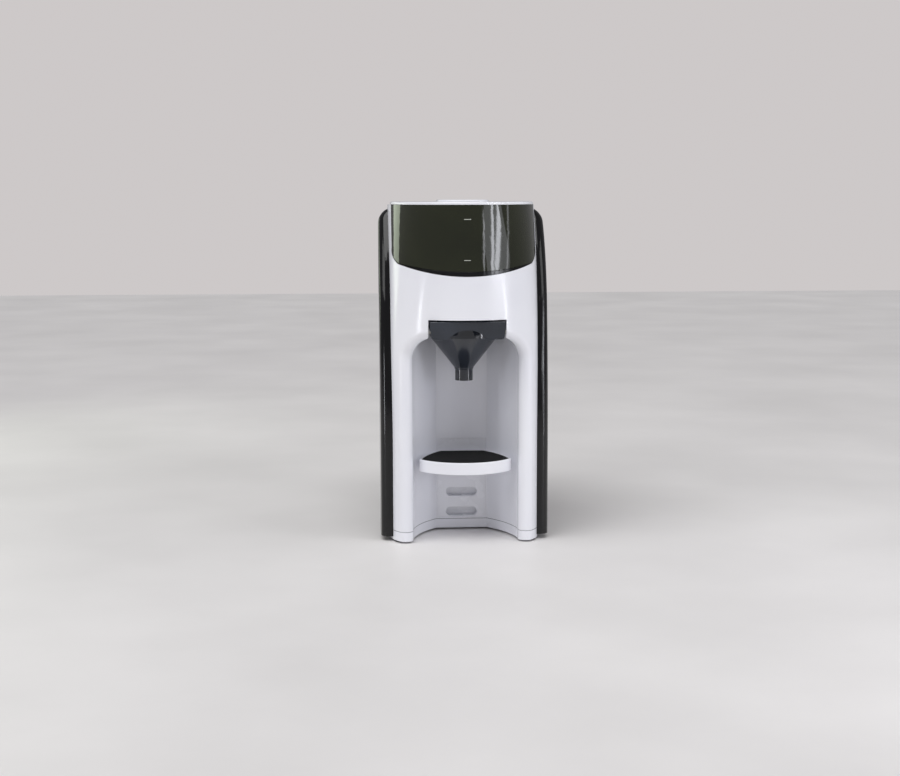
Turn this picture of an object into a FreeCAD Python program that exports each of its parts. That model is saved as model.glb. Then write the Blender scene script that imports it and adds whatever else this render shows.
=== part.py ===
import FreeCAD, Part
import math
import os
import Sketcher
from FreeCAD import Placement, Rotation, Vector
from fcgear import fcgear, involute

# Baby formula maker: a countertop machine that doses powder and warm water into a feeding bottle.
# Millimetres. +X is the user's right, -Y the front, +Z up. The origin is the middle of the
# footprint, on the counter. Depths are counted backwards from the front face, front_y.

doc = FreeCAD.newDocument("FormulaMaker")
dims = doc.addObject("Spreadsheet::Sheet", "Dims")

DIMENSIONS = [
    # The whole machine
    ("overall_width", 177, "widest point of the two side panels"),
    ("overall_depth", 305, "front face to rear of the water tank"),
    ("overall_height", 356, "counter to the top of the lid's grip"),
    ("front_y", -152.5, "front face on the centre line"),
    ("skin", 3, "wall of the moulded housings"),
    ("fit_gap", 0.4, "gap between a lift-out piece and the housing"),
    ("running_gap", 0.08, "radial clearance of the shafts"),
    # Dark body: side panels, deck, rear
    ("side_arc_radius", 1000, "plan curve of the side panels"),
    ("side_arc_start", 75, "depth of the widest point"),
    ("rear_corner_radius", 40, "plan corner at the rear"),
    ("shoulder_radius", 17, "rounding along the top of the sides"),
    ("body_top", 348, "top of the side panels, deck and tank lid"),
    ("panel_bottom", 5, "lower edge of the side panels and rear cover"),
    ("swoosh_foot", 41.5, "depth of the panels' front edge near the counter"),
    ("swoosh_start_z", 90, "where that edge begins to lean back"),
    ("swoosh_lean", 14.5, "how far it has leaned back at swoosh_bend_z"),
    ("swoosh_bend_z", 251, "where it sweeps back faster"),
    ("swoosh_sweep", 66, "how far it has swept back at the top"),
    ("swoosh_low_bow", 3.6, "hollow of the lower stretch"),
    ("swoosh_high_bow", 7.4, "hollow of the upper stretch"),
    ("lip_radius", 9, "soft front edge of the side panels"),
    ("deck_half_width", 61.9, "half width of the top deck"),
    ("rear_split", 212, "depth where the side panels end"),
    # White front housing
    ("cap_half_width", 78, "half width of the front housing"),
    ("cap_depth_low", 55, "plan depth of the front curve near the counter"),
    ("cap_depth_gain", 57, "extra plan depth of that curve at the top"),
    ("cap_curve_power", 4.4, "how late the front curve deepens"),
    ("cap_bottom", 12, "seam between base and front housing"),
    ("cap_top", 351, "top edge of the front housing"),
    # Bottle bay
    ("bay_half_width", 55, "half width of the opening"),
    ("bay_throat", 40, "depth where the side walls start to close in"),
    ("bay_back_half", 27.5, "half width of the flat back wall"),
    ("bay_back", 94.5, "depth of the back wall"),
    ("bay_wall_bow", 4.5, "outward bow of the side walls"),
    ("bay_top", 217, "ceiling of the bay"),
    ("bay_corner_radius", 24, "upper corners of the arch"),
    ("bay_edge_radius", 8, "soft edge round the opening"),
    ("pilaster_solid", 12, "solid stretch beside the opening"),
    # Window of the powder hopper
    ("window_half_width", 75, "half width of the window opening"),
    ("window_corner_z", 307, "where the lower corners start"),
    ("window_corner_bow", 2.2, "bow of the lower corners"),
    ("smile_end_x", 69.4, "end of the curved lower edge"),
    ("smile_end_z", 290.6, "height of that end"),
    ("smile_low_z", 279, "lowest point of the curved lower edge"),
    ("strip_height", 4.7, "trim strip at its middle"),
    ("window_wall", 3.5, "window thickness"),
    # Base, feet and screws
    ("base_bottom", 2, "underside of the base"),
    ("base_rear_inset", 6, "how far the base lies inside the rear cover's plan"),
    ("foot_radius", 8, "rubber foot"),
    ("foot_height", 3, "rubber foot, counter to its seat"),
    ("foot_front_x", 66, "front feet, from the centre line"),
    ("foot_front_depth", 42, "front feet"),
    ("foot_rear_x", 52, "rear feet, from the centre line"),
    ("foot_rear_depth", 262, "rear feet"),
    ("boss_radius", 5, "screw boss in the base"),
    ("screw_radius", 1.5, "self-tapping screw, shank"),
    ("screw_head_radius", 3.3, "its head"),
    ("screw_head_height", 2.2, "its head"),
    ("screw_seat", 6.5, "height of the seat its head pulls against"),
    ("frame_screw_x", 50, "screws into the chassis frame"),
    ("rear_screw_x", 48, "screws into the rear cover's lugs"),
    ("rear_screw_depth", 284, "screws into the rear cover's lugs"),
    # Funnel
    ("spout_depth", 58, "depth of the funnel and bottle axis"),
    ("spout_radius", 9.3, "outside of the spout"),
    ("spout_bottom", 168, "lowest edge of the spout"),
    ("spout_step", 0.8, "bead where the spout meets the cone"),
    ("cone_bottom", 181.5, "cone meets spout"),
    ("cone_top", 215.5, "cone meets collar"),
    ("cone_radius", 36, "outside of the collar"),
    ("funnel_wall", 2.4, "wall of the funnel"),
    ("funnel_half_width", 39, "half width of the front band"),
    ("funnel_back", 94, "depth of the flange's rear edge"),
    ("band_front", 3, "depth of the band's face"),
    ("band_thickness", 3.5, "front band"),
    ("band_top", 233.5, "top of the front band"),
    ("band_taper", 1.6, "how much the band narrows to its lower edge"),
    ("notch_half_width", 20, "finger notch in the band"),
    ("notch_rise", 9.5, "height of that notch"),
    ("flange_bottom", 224.3, "underside of the funnel's flange"),
    ("flange_thickness", 2.7, "funnel flange"),
    ("slot_half_width", 39.8, "funnel slot in the housing"),
    ("slot_top", 235, "ceiling of the funnel slot"),
    ("mouth_shift", 6, "how far the powder mouth lies behind the spout's axis"),
    ("mouth_radius", 25, "round mouth over the funnel"),
    # Bottle tray
    ("tray_half_width", 48, "half width of the tray"),
    ("tray_front", 12, "depth of the tray's front edge"),
    ("tray_ends", 39, "depth of the ends of the front curve"),
    ("tray_back", 93, "depth of the tray's rear edge"),
    ("tray_back_half", 25, "half width at the rear edge"),
    ("tray_side_bow", 3.2, "bow of the tray's sides"),
    ("tray_bottom", 74.5, "underside of the skirt"),
    ("tray_top", 87, "rim of the tray"),
    ("tray_wall", 2.5, "skirt of the tray"),
    ("mat_seat", 1.6, "depth of the mat's recess"),
    ("mat_thickness", 1.9, "rubber mat"),
    ("slot_low_z", 19.7, "lowest tray slot"),
    ("slot_mid_z", 41.4, "middle tray slot"),
    ("slot_high_z", 80.5, "slot that holds the tray"),
    ("slot_width", 33, "tray slot, end to end"),
    ("slot_height", 8.8, "tray slot, top to bottom"),
    ("slot_recess", 8, "depth of the tray slots"),
    ("tongue_play", 0.7, "gap round the tray's tongue"),
    ("rail_half_width", 26, "slotted rail, half width"),
    ("rail_bottom", 14, "lower end of the slotted rail"),
    ("rail_top", 100, "upper end of the slotted rail"),
    # Powder hopper and its lid
    ("hopper_back", 141, "depth of the hopper's rear wall"),
    ("hopper_bottom", 272, "underside of the hopper"),
    ("hopper_wall", 2.5, "walls and floor of the hopper"),
    ("hopper_corner", 12, "rear corners of the hopper"),
    ("hopper_floor", 16, "shelf round the dosing chamber, above the underside"),
    ("lid_thickness", 2.8, "lid plate"),
    ("grip_half_width", 27, "raised grip of the lid"),
    ("grip_front", 54, "depth of the grip's front edge"),
    ("grip_back", 106, "depth of its rear edge"),
    ("grip_corner", 16, "corners of the grip"),
    ("skirt_half_width", 55, "skirt under the lid"),
    ("skirt_front", 38, "depth of the skirt's front"),
    ("skirt_back", 130, "depth of the skirt's rear"),
    ("skirt_corner", 22, "corners of the skirt"),
    ("skirt_drop", 6, "how far the skirt reaches into the hopper"),
    ("seal_bead", 1.5, "silicone seal round the skirt"),
    # Dosing drive
    ("wheel_depth", 92, "depth of the dosing wheel's axis"),
    ("wheel_radius", 43, "dosing wheel"),
    ("wheel_lift", 3.3, "underside of the wheel above the hopper's underside"),
    ("wheel_thickness", 7, "dosing wheel"),
    ("hub_radius", 10, "hub of the dosing wheel"),
    ("hub_height", 20, "hub of the dosing wheel"),
    ("chamber_radius", 43.8, "round chamber the wheel turns in"),
    ("chamber_height", 12, "straight wall of the chamber, above the underside"),
    ("pocket_count", 8, "powder pockets in the wheel"),
    ("pocket_radius", 7.5, "powder pocket"),
    ("dog_hole", 9, "hole in the hopper's floor round the dog"),
    ("arm_reach", 46, "stirrer arms, from the axis"),
    ("arm_width", 5, "stirrer arm"),
    ("arm_collar", 14, "stirrer's collar"),
    ("wiper_half_width", 19, "wiper over the open pocket"),
    ("gear_module", 1, "dosing gears"),
    ("gear_teeth", 38, "drive gear"),
    ("pinion_teeth", 14, "motor pinion"),
    ("gear_backlash", 0.12, "extra centre distance"),
    ("gear_bottom", 262, "underside of the gears"),
    ("gear_face", 7, "face width of the gears"),
    ("dog_flats", 12, "hexagonal dog, across flats"),
    ("dog_height", 9.5, "hexagonal dog"),
    ("shaft_radius", 4, "drive gear's shaft"),
    ("spindle_radius", 1.5, "motor spindle"),
    ("deck_bottom", 256, "underside of the dosing deck"),
    ("deck_thickness", 4, "dosing deck"),
    ("chute_radius", 8.9, "powder chute"),
    ("chute_bore", 7.4, "bore of the powder chute"),
    ("motor_bottom", 222, "lower end of the motor's can"),
    ("motor_radius", 14, "dosing motor"),
    # Water side
    ("tank_front", 216, "depth of the tank's front wall"),
    ("tank_bottom", 107, "underside of the tank"),
    ("tank_rim", 328, "seam between tank and tank lid"),
    ("tank_wall", 2.5, "tank wall"),
    ("shelf_z", 102.7, "underside of the tank shelf"),
    ("shelf_thickness", 4, "tank shelf"),
    ("valve_depth", 258, "depth of the tank valve"),
    ("valve_boss", 11, "round boss under the tank"),
    ("valve_bore", 6, "bore of that boss"),
    ("stem_radius", 2.5, "valve stem"),
    ("stem_disc", 8.5, "sealing disc of the stem"),
    ("dock_radius", 14.9, "dock the tank drops into"),
    ("dock_bore", 12.2, "its bore"),
    ("hose_radius", 3.5, "silicone hoses"),
    ("pump_x", 34, "water pump"),
    ("pump_depth", 246, "water pump"),
    ("pump_radius", 17, "motor of the pump"),
    ("heater_x", -38, "water heater"),
    ("heater_depth", 174, "water heater"),
    ("heater_radius", 24, "water heater"),
    ("heater_low", 150, "lower end of the heater"),
    ("heater_high", 230, "upper end of the heater"),
    ("nozzle_x", 15, "water nozzle over the funnel"),
    ("nozzle_depth", 70, "water nozzle over the funnel"),
    # Chassis, rear cover and electrics
    ("frame_depth", 143.5, "depth of the chassis plate"),
    ("frame_top", 329.9, "top of the chassis plate"),
    ("frame_flange", 14, "foot of the chassis plate, front to rear"),
    ("louvre_count", 5, "cooling slots in the rear cover"),
    ("louvre_low_z", 50, "lowest cooling slot"),
    ("louvre_pitch", 8, "spacing of the cooling slots"),
    ("louvre_length", 54, "cooling slot"),
    ("louvre_height", 3, "cooling slot"),
    ("inlet_z", 26, "middle of the power inlet"),
    ("inlet_half_width", 12, "opening for the power inlet"),
    ("inlet_half_height", 8, "opening for the power inlet"),
    ("inlet_corner", 4, "its corners"),
    ("board_thickness", 1.6, "circuit boards"),
    ("pillar_height", 5, "pillars under the circuit boards"),
    ("pillar_radius", 2.5, "pillars under the circuit boards"),
    # Control panel on the right side
    ("control_front", 128, "depth of the control panel's front edge"),
    ("control_back", 172, "depth of its rear edge"),
    ("control_low", 150, "its lower edge"),
    ("control_high", 268, "its upper edge"),
    ("control_corner", 8, "its corners"),
    ("control_sink", 0.5, "how far it lies under the side panel's surface"),
    ("control_thickness", 2.5, "control panel"),
    ("display_front", 134, "depth of the display's front edge"),
    ("display_back", 166, "depth of its rear edge"),
    ("display_low", 206, "its lower edge"),
    ("display_high", 246, "its upper edge"),
    ("display_board_x", 71.2, "inner face of the display board"),
    ("button_radius", 6, "push buttons"),
    ("button_proud", 0.8, "how far a button stands out"),
    ("button_flange", 7.4, "flange that keeps a button in"),
]


def fill_sheet():
    """Write each driving dimension as a plain number with its alias and meaning."""
    for row, (alias, number, meaning) in enumerate(DIMENSIONS, start=1):
        dims.set(f"A{row}", alias)
        dims.set(f"B{row}", str(number))
        dims.set(f"C{row}", meaning)
        dims.setAlias(f"B{row}", alias)
    doc.recompute()


fill_sheet()

# Clearances that several functions share, and a length that surely passes through anything.
TOUCH = "0.05"
THROUGH = "400"


def size(expression):
    """The number that a spreadsheet expression stands for."""
    return float(dims.evalExpression(str(expression)))


def depth(expression):
    """The Y expression of a depth behind the front face."""
    return f"(Dims.front_y + ({expression}))"


# --- Sketches, prisms and booleans -------------------------------------------------------------

NORMAL_SIGN = {"XY_Plane": 1, "XZ_Plane": -1, "YZ_Plane": 1}
QUARTER_BOW = 1 - math.sqrt(0.5)


def new_body(name):
    """A PartDesign body with its own label."""
    body = doc.addObject("PartDesign::Body", name)
    body.Label = name
    return body


def new_sketch(body, plane, offset):
    """A sketch on one of the body's origin planes, moved along the row axis to `offset`."""
    sketch = body.newObject("Sketcher::SketchObject", body.Name + "_sketch")
    support = [item for item in body.Origin.OriginFeatures if item.Role == plane][0]
    sketch.AttachmentSupport = [(support, "")]
    sketch.MapMode = "FlatFace"
    sketch.setExpression("AttachmentOffset.Base.z", f"{NORMAL_SIGN[plane]} * ({offset})")
    return sketch


def bind_point(sketch, geometry, position, x, y):
    """Tie one sketch point to spreadsheet expressions."""
    for kind, expression in (("DistanceX", x), ("DistanceY", y)):
        constraint = Sketcher.Constraint(kind, -1, 1, geometry, position, size(expression))
        index = sketch.addConstraint(constraint)
        sketch.setExpression(f"Constraints[{index}]", str(expression))


def draw(sketch, points):
    """A closed outline: (x, y) ends a straight edge, (x, y, bow) an arc bowed to its right."""
    first = sketch.GeometryCount
    corners = [Vector(size(point[0]), size(point[1]), 0) for point in points]
    starts = []
    for index, point in enumerate(points):
        start = corners[index - 1]
        end = corners[index]
        if len(point) == 2:
            edge = Part.LineSegment(start, end)
        else:
            along = (end - start).normalize()
            right = Vector(along.y, -along.x, 0)
            edge = Part.Arc(start, (start + end) * 0.5 + right * size(point[2]), end)
        number = sketch.addGeometry(edge, False)
        drawn_start = sketch.getPoint(number, 1)
        starts.append(1 if drawn_start.distanceToPoint(start) < 1e-6 else 2)
    for index, point in enumerate(points):
        following = (index + 1) % len(points)
        end_side = 3 - starts[index]
        sketch.addConstraint(
            Sketcher.Constraint("Coincident", first + index, end_side, first + following, starts[following])
        )
        bind_point(sketch, first + index, end_side, point[0], point[1])


def draw_circle(sketch, x, y, radius):
    """A circle tied to the sheet by its centre and radius."""
    circle = Part.Circle(Vector(size(x), size(y), 0), Vector(0, 0, 1), size(radius))
    number = sketch.addGeometry(circle, False)
    bind_point(sketch, number, 3, x, y)
    index = sketch.addConstraint(Sketcher.Constraint("Radius", number, size(radius)))
    sketch.setExpression(f"Constraints[{index}]", str(radius))


def draw_all(sketch, outlines, circles):
    """Several outlines and circles in one sketch."""
    for outline in outlines:
        draw(sketch, outline)
    for circle in circles:
        draw_circle(sketch, *circle)


def rectangle(x_low, x_high, y_low, y_high):
    """The corners of an upright rectangle."""
    return [(x_high, y_low), (x_high, y_high), (x_low, y_high), (x_low, y_low)]


def rounded(x_low, x_high, y_low, y_high, radius):
    """A rectangle with round corners, anticlockwise, so its corner arcs bow to the right."""
    bow = f"{QUARTER_BOW} * ({radius})"
    return [
        (f"{x_high} - ({radius})", y_low),
        (x_high, f"{y_low} + ({radius})", bow),
        (x_high, f"{y_high} - ({radius})"),
        (f"{x_high} - ({radius})", y_high, bow),
        (f"{x_low} + ({radius})", y_high),
        (x_low, f"{y_high} - ({radius})", bow),
        (x_low, f"{y_low} + ({radius})"),
        (f"{x_low} + ({radius})", y_low, bow),
    ]


def pill(x_middle, y_middle, length, height):
    """A slot outline with half-round ends."""
    return rounded(
        f"({x_middle} - ({length}) / 2)",
        f"({x_middle} + ({length}) / 2)",
        f"({y_middle} - ({height}) / 2)",
        f"({y_middle} + ({height}) / 2)",
        f"({height}) / 2 - 0.01",
    )


def extrude(body, sketch, plane, length, towards=1):
    """Pad a sketch by `length` towards +1 or -1 along the plane's row axis."""
    feature = body.newObject("PartDesign::Pad", body.Name + "_pad")
    feature.Profile = sketch
    feature.setExpression("Length", str(length))
    feature.Reversed = towards != NORMAL_SIGN[plane]
    doc.recompute()
    return feature


def pocket(body, sketch, plane, length, towards=-1):
    """Cut a sketch out of the body and make sure that material went."""
    before = body.Shape.Volume
    feature = body.newObject("PartDesign::Pocket", body.Name + "_pocket")
    feature.Profile = sketch
    feature.setExpression("Length", str(length))
    feature.Reversed = towards == NORMAL_SIGN[plane]
    doc.recompute()
    if not body.Shape.Volume < before - 0.01:
        raise RuntimeError(f"{body.Label}: a pocket cut nothing")
    return feature


def add_prism(body, plane, outlines, start, length, circles=()):
    """A pad on a body, from `start` for `length` along the row axis."""
    sketch = new_sketch(body, plane, start)
    draw_all(sketch, outlines, circles)
    extrude(body, sketch, plane, length)


def prism(name, plane, outlines, start, length, circles=()):
    """A body made of one pad."""
    body = new_body(name)
    add_prism(body, plane, outlines, start, length, circles)
    return body


def cut_prism(body, plane, outlines, start, length, circles=(), towards=1):
    """A pocket in a body, from `start` towards +1 or -1 along the row axis."""
    sketch = new_sketch(body, plane, start)
    draw_all(sketch, outlines, circles)
    pocket(body, sketch, plane, length, towards=towards)


def revolve(body, plane, outline, offset):
    """Turn an outline all round the sketch's upright axis."""
    sketch = new_sketch(body, plane, offset)
    draw(sketch, outline)
    turn = body.newObject("PartDesign::Revolution", body.Name + "_turn")
    turn.Profile = sketch
    turn.ReferenceAxis = (sketch, ["V_Axis"])
    turn.Angle = 360
    doc.recompute()


def combine(kind, name, base, tool):
    """A Part boolean, Cut, Fuse or Common, that must leave something."""
    result = doc.addObject("Part::" + kind, name)
    result.Label = name
    result.Base = base
    result.Tool = tool
    doc.recompute()
    if not result.Shape.Solids:
        raise RuntimeError(f"{name}: the boolean left nothing")
    return result


def fillet_edges(name, base, radius, chosen):
    """Round every edge of `base` that `chosen` accepts."""
    result = doc.addObject("Part::Fillet", name)
    result.Label = name
    result.Base = base
    amount = size(radius)
    numbers = [n for n, edge in enumerate(base.Shape.Edges, start=1) if chosen(edge)]
    result.Edges = [(n, amount, amount) for n in numbers]
    doc.recompute()
    return result


def body_fillet(body, radius, chosen):
    """A PartDesign fillet on the edges of the body's tip that `chosen` accepts."""
    tip = body.Tip
    names = [f"Edge{n}" for n, edge in enumerate(tip.Shape.Edges, start=1) if chosen(edge)]
    feature = body.newObject("PartDesign::Fillet", body.Name + "_fillet")
    feature.Base = (tip, names)
    feature.setExpression("Radius", str(radius))
    doc.recompute()
    return feature


def lies_at_height(height, tolerance=0.01):
    """A test for edges that lie flat at one height."""
    level = size(height)

    def test(edge):
        box = edge.BoundBox
        return abs(box.ZMin - level) < tolerance and abs(box.ZMax - level) < tolerance

    return test


nodes = {}


def keep(name, piece):
    """Register a finished sub-part under its node name."""
    piece.Label = name
    nodes[name] = piece
    return piece


def keep_group(name, pieces):
    """Register several separate solids as one node."""
    group = doc.addObject("Part::Compound", name)
    group.Links = pieces
    doc.recompute()
    return keep(name, group)


# --- The curved envelope -----------------------------------------------------------------------

CAP_LEVELS = (0, 0.22, 0.42, 0.6, 0.76, 0.89, 1)


def plan_depth_at(height, inset):
    """How deep the front's curve runs before it reaches full width, at one height."""
    share = f"((({height}) - Dims.cap_bottom) / (Dims.cap_top - Dims.cap_bottom))"
    return size(f"Dims.cap_depth_low + Dims.cap_depth_gain * {share} ^ Dims.cap_curve_power - ({inset})")


def draw_front_plan(sketch, height, inset, straight=0):
    """The front's plan at one height: half an ellipse, then straight sides of a given length."""
    half_width = size(f"Dims.cap_half_width - ({inset})")
    plan_depth = plan_depth_at(height, inset)
    centre = Vector(0, size(f"Dims.front_y + ({inset})") + plan_depth, 0)
    right = centre + Vector(half_width, 0, 0)
    left = centre - Vector(half_width, 0, 0)
    far_side = centre + Vector(0, plan_depth, 0)
    if half_width > plan_depth:
        ellipse = Part.Ellipse(right, far_side, centre)
    else:
        ellipse = Part.Ellipse(far_side, left, centre)
    start = ellipse.parameter(left)
    end = ellipse.parameter(right)
    if end < start:
        end += 2 * math.pi
    sketch.addGeometry(Part.ArcOfEllipse(ellipse, start, end), False)
    corners = [right, left]
    if straight:
        back = Vector(0, straight, 0)
        corners = [right, right + back, left + back, left]
    for begin, finish in zip(corners, corners[1:]):
        sketch.addGeometry(Part.LineSegment(begin, finish), False)


def cap_loft(name, inset):
    """The front housing's outer form, shrunk by `inset`: half ellipses that deepen upwards."""
    body = new_body(name)
    sections = []
    for level in CAP_LEVELS:
        height = f"Dims.cap_bottom + (Dims.cap_top - Dims.cap_bottom) * {level}"
        sketch = new_sketch(body, "XY_Plane", height)
        draw_front_plan(sketch, height, inset)
        sections.append(sketch)
    loft = body.newObject("PartDesign::AdditiveLoft", name + "_loft")
    loft.Profile = sections[0]
    loft.Sections = sections[1:]
    doc.recompute()
    return body


def side_x(depth_mm, inset=0):
    """Half width of the side panels' plan curve at a depth."""
    radius = size("Dims.side_arc_radius") - inset
    along = depth_mm - size("Dims.side_arc_start")
    centre_x = size("Dims.overall_width / 2 - Dims.side_arc_radius")
    return centre_x + math.sqrt(radius ** 2 - along ** 2)


def oval_outline(front, inset):
    """Plan outline of the dark body: bowed sides running tangent into round rear corners."""
    side_radius = size(f"Dims.side_arc_radius - ({inset})")
    corner_radius = size(f"Dims.rear_corner_radius - ({inset})")
    side_centre = Vector(
        size("Dims.overall_width / 2 - Dims.side_arc_radius"), size(depth("Dims.side_arc_start")), 0
    )
    between = side_radius - corner_radius
    corner_y = size(depth("Dims.overall_depth - Dims.rear_corner_radius"))
    rise = corner_y - side_centre.y
    corner_x = side_centre.x + math.sqrt(between ** 2 - rise ** 2)
    turn = math.asin(rise / between)
    join = side_centre + Vector(math.cos(turn), math.sin(turn), 0) * side_radius
    front_y = size(depth(front))
    x_front = side_x(size(front), size(inset))
    half_chord = math.hypot(join.y - front_y, x_front - join.x) / 2
    bow = side_radius - math.sqrt(side_radius ** 2 - half_chord ** 2)
    corner_bow = corner_radius * (1 - math.cos((math.pi / 2 - turn) / 2))
    rear = depth(f"Dims.overall_depth - ({inset})")
    return [
        (x_front, depth(front)),
        (join.x, join.y, bow),
        (corner_x, rear, corner_bow),
        (-corner_x, rear),
        (-join.x, join.y, corner_bow),
        (-x_front, depth(front), bow),
    ]


def oval_body(name, front, inset, z_low, z_high, edge_radius=None):
    """A block of the dark body's outer form, with an optional round top edge."""
    body = prism(name, "XY_Plane", [oval_outline(front, inset)], z_low, f"{z_high} - ({z_low})")
    if edge_radius:
        front_y = size(depth(front))
        level = lies_at_height(z_high)
        body_fillet(body, edge_radius, lambda e: level(e) and e.BoundBox.YMax > front_y + 1)
    return body


def swoosh_outline(shift="0"):
    """Side view of all that lies in front of the dark panels: upright, then swept backwards."""
    edge = f"Dims.swoosh_foot + {shift}"
    ahead = depth("-5")
    return [
        (ahead, "-5"),
        (depth(edge), "-5"),
        (depth(edge), "Dims.swoosh_start_z"),
        (depth(f"{edge} + Dims.swoosh_lean"), "Dims.swoosh_bend_z", "-Dims.swoosh_low_bow"),
        (depth(f"{edge} + Dims.swoosh_sweep"), "Dims.cap_top + 1", "-Dims.swoosh_high_bow"),
        (ahead, "Dims.cap_top + 1"),
    ]


# --- Front housing, base and bay ---------------------------------------------------------------

def bay_outline(spread, reach, front):
    """Plan of the bottle bay: open front, bowed side walls, flat back wall."""
    half = f"(Dims.bay_half_width + ({spread}))"
    back_half = f"(Dims.bay_back_half + ({spread}))"
    back = depth(f"Dims.bay_back + ({reach})")
    throat = depth("Dims.bay_throat")
    return [
        (half, depth(front)),
        (half, throat),
        (back_half, back, "Dims.bay_wall_bow"),
        (f"-{back_half}", back),
        (f"-{half}", throat, "Dims.bay_wall_bow"),
        (f"-{half}", depth(front)),
    ]


def arch_outline(spread):
    """Front view of the bay: upright sides and round upper corners."""
    half = f"(Dims.bay_half_width + ({spread}))"
    top = f"(Dims.bay_top + ({spread}))"
    radius = f"(Dims.bay_corner_radius + ({spread}))"
    bow = f"{QUARTER_BOW} * {radius}"
    return [
        (half, "-5"),
        (half, f"{top} - {radius}"),
        (f"{half} - {radius}", top, bow),
        (f"-{half} + {radius}", top),
        (f"-{half}", f"{top} - {radius}", bow),
        (f"-{half}", "-5"),
    ]


def bay_form(name, spread, reach, front, z_low):
    """The bay as a solid: its plan shape under its arch."""
    plan = prism(
        name + "_plan",
        "XY_Plane",
        [bay_outline(spread, reach, front)],
        z_low,
        f"Dims.bay_top + 20 - ({z_low})",
    )
    arch = prism(name + "_arch", "XZ_Plane", [arch_outline(spread)], depth("-20"), "Dims.bay_back + 60")
    return combine("Common", name, plan, arch)


def window_outline(gap, low_edge):
    """Front view of the window opening: round lower corners and a smiling lower edge."""
    half = f"(Dims.window_half_width - ({gap}))"
    end = f"(Dims.smile_end_x - ({gap}))"
    end_z = f"(Dims.smile_end_z + {low_edge} * 0.1 + ({gap}))"
    drop = f"(Dims.smile_end_z - Dims.smile_low_z - {low_edge} * 0.9)"
    above = "Dims.cap_top + 30"
    return [
        (half, above),
        (f"-{half}", above),
        (f"-{half}", "Dims.window_corner_z"),
        (f"-{end}", end_z, "Dims.window_corner_bow"),
        (end, end_z, drop),
        (half, "Dims.window_corner_z", "Dims.window_corner_bow"),
    ]


def slot_block(name, wall, low, length):
    """The funnel slot as a block from the front, widened and raised by `wall`."""
    half = f"(Dims.slot_half_width + {wall})"
    opening = rectangle(f"-{half}", half, low, f"Dims.slot_top + {wall}")
    return prism(name, "XZ_Plane", [opening], depth("-10"), length)


def make_front_housing():
    """White front moulding: lofted skin, bottle bay, funnel slot and window opening."""
    outer = cap_loft("cap_outer", "0")
    inner = cap_loft("cap_inner", "Dims.skin")
    bay_walls = bay_form("bay_walls", "Dims.skin", "Dims.skin", "-5", "Dims.cap_bottom")
    pilasters = prism(
        "pilasters",
        "XZ_Plane",
        [arch_outline("Dims.pilaster_solid")],
        depth("-10"),
        "Dims.bay_throat + 18",
    )
    bay_block = combine("Fuse", "bay_block", bay_walls, pilasters)
    slot_walls = slot_block("slot_walls", "Dims.skin", "150", "Dims.bay_back + 13")
    walls = combine("Fuse", "inner_walls", bay_block, slot_walls)
    hollow = combine("Cut", "cap_hollow", inner, walls)
    skin = combine("Cut", "cap_skin", outer, hollow)
    # The rear of the bay reaches past the lofted form, so its back wall is added behind it.
    behind = prism(
        "behind_cap",
        "XY_Plane",
        [rectangle("-60", "60", depth("50"), depth("110"))],
        "Dims.cap_bottom",
        "Dims.slot_top + Dims.skin - Dims.cap_bottom",
    )
    back_walls = combine("Common", "back_walls", walls, behind)
    moulding = combine("Fuse", "moulding", skin, back_walls)
    bay_void = bay_form("bay_void", "0", "0", "-10", "-5")
    opened = combine("Cut", "bay_opened", moulding, bay_void)
    rounded_bay = fillet_edges("bay_rounded", opened, "Dims.bay_edge_radius", is_bay_edge)
    slot_void = slot_block("slot_void", "0", "Dims.cone_top - 1.5", "Dims.bay_back + 10.2")
    slotted = combine("Cut", "funnel_slotted", rounded_bay, slot_void)
    mouth = prism(
        "powder_mouth",
        "XY_Plane",
        [],
        "Dims.slot_top - 1",
        "Dims.skin + 2",
        circles=[("0", depth("Dims.spout_depth + Dims.mouth_shift"), "Dims.mouth_radius")],
    )
    mouthed = combine("Cut", "powder_mouth_cut", slotted, mouth)
    window_void = prism(
        "window_void", "XZ_Plane", [window_outline("0", "0")], depth("-10"), "Dims.cap_depth_gain + 80"
    )
    windowed = combine("Cut", "window_opened", mouthed, window_void)
    rail_seat = rectangle(
        "-Dims.rail_half_width", "Dims.rail_half_width", "Dims.rail_bottom", "Dims.rail_top"
    )
    rail_void = prism("rail_void", "XZ_Plane", [rail_seat], depth("Dims.bay_back - 5"), "20")
    keep("front_shell", combine("Cut", "front_shell", windowed, rail_void))
    return outer, inner


def is_bay_edge(edge):
    """The arch-shaped edge where the bay breaks through the lofted front."""
    box = edge.BoundBox
    half = size("Dims.bay_half_width") + 0.1
    within_arch = box.XMax < half and box.XMin > -half and box.ZMax < size("Dims.bay_top") + 0.1
    at_front = box.YMax < size(depth("Dims.bay_throat")) - 10
    return within_arch and at_front and box.DiagonalLength > 10


def make_trim_strip(outer, deeper):
    """Gloss strip that follows the smile under the window."""
    end = "(Dims.smile_end_x - 0.6)"
    end_z = f"Dims.smile_end_z - {TOUCH}"
    drop = "(Dims.smile_end_z - Dims.smile_low_z)"
    crescent = [
        (end, end_z, f"{drop} - {TOUCH}"),
        (f"-{end}", end_z, f"-({drop} - Dims.strip_height)"),
    ]
    band = prism("strip_band", "XZ_Plane", [crescent], depth("-10"), "120")
    skin = combine("Cut", "strip_skin", outer, deeper)
    keep("trim_strip", combine("Common", "trim_strip", skin, band))


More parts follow.
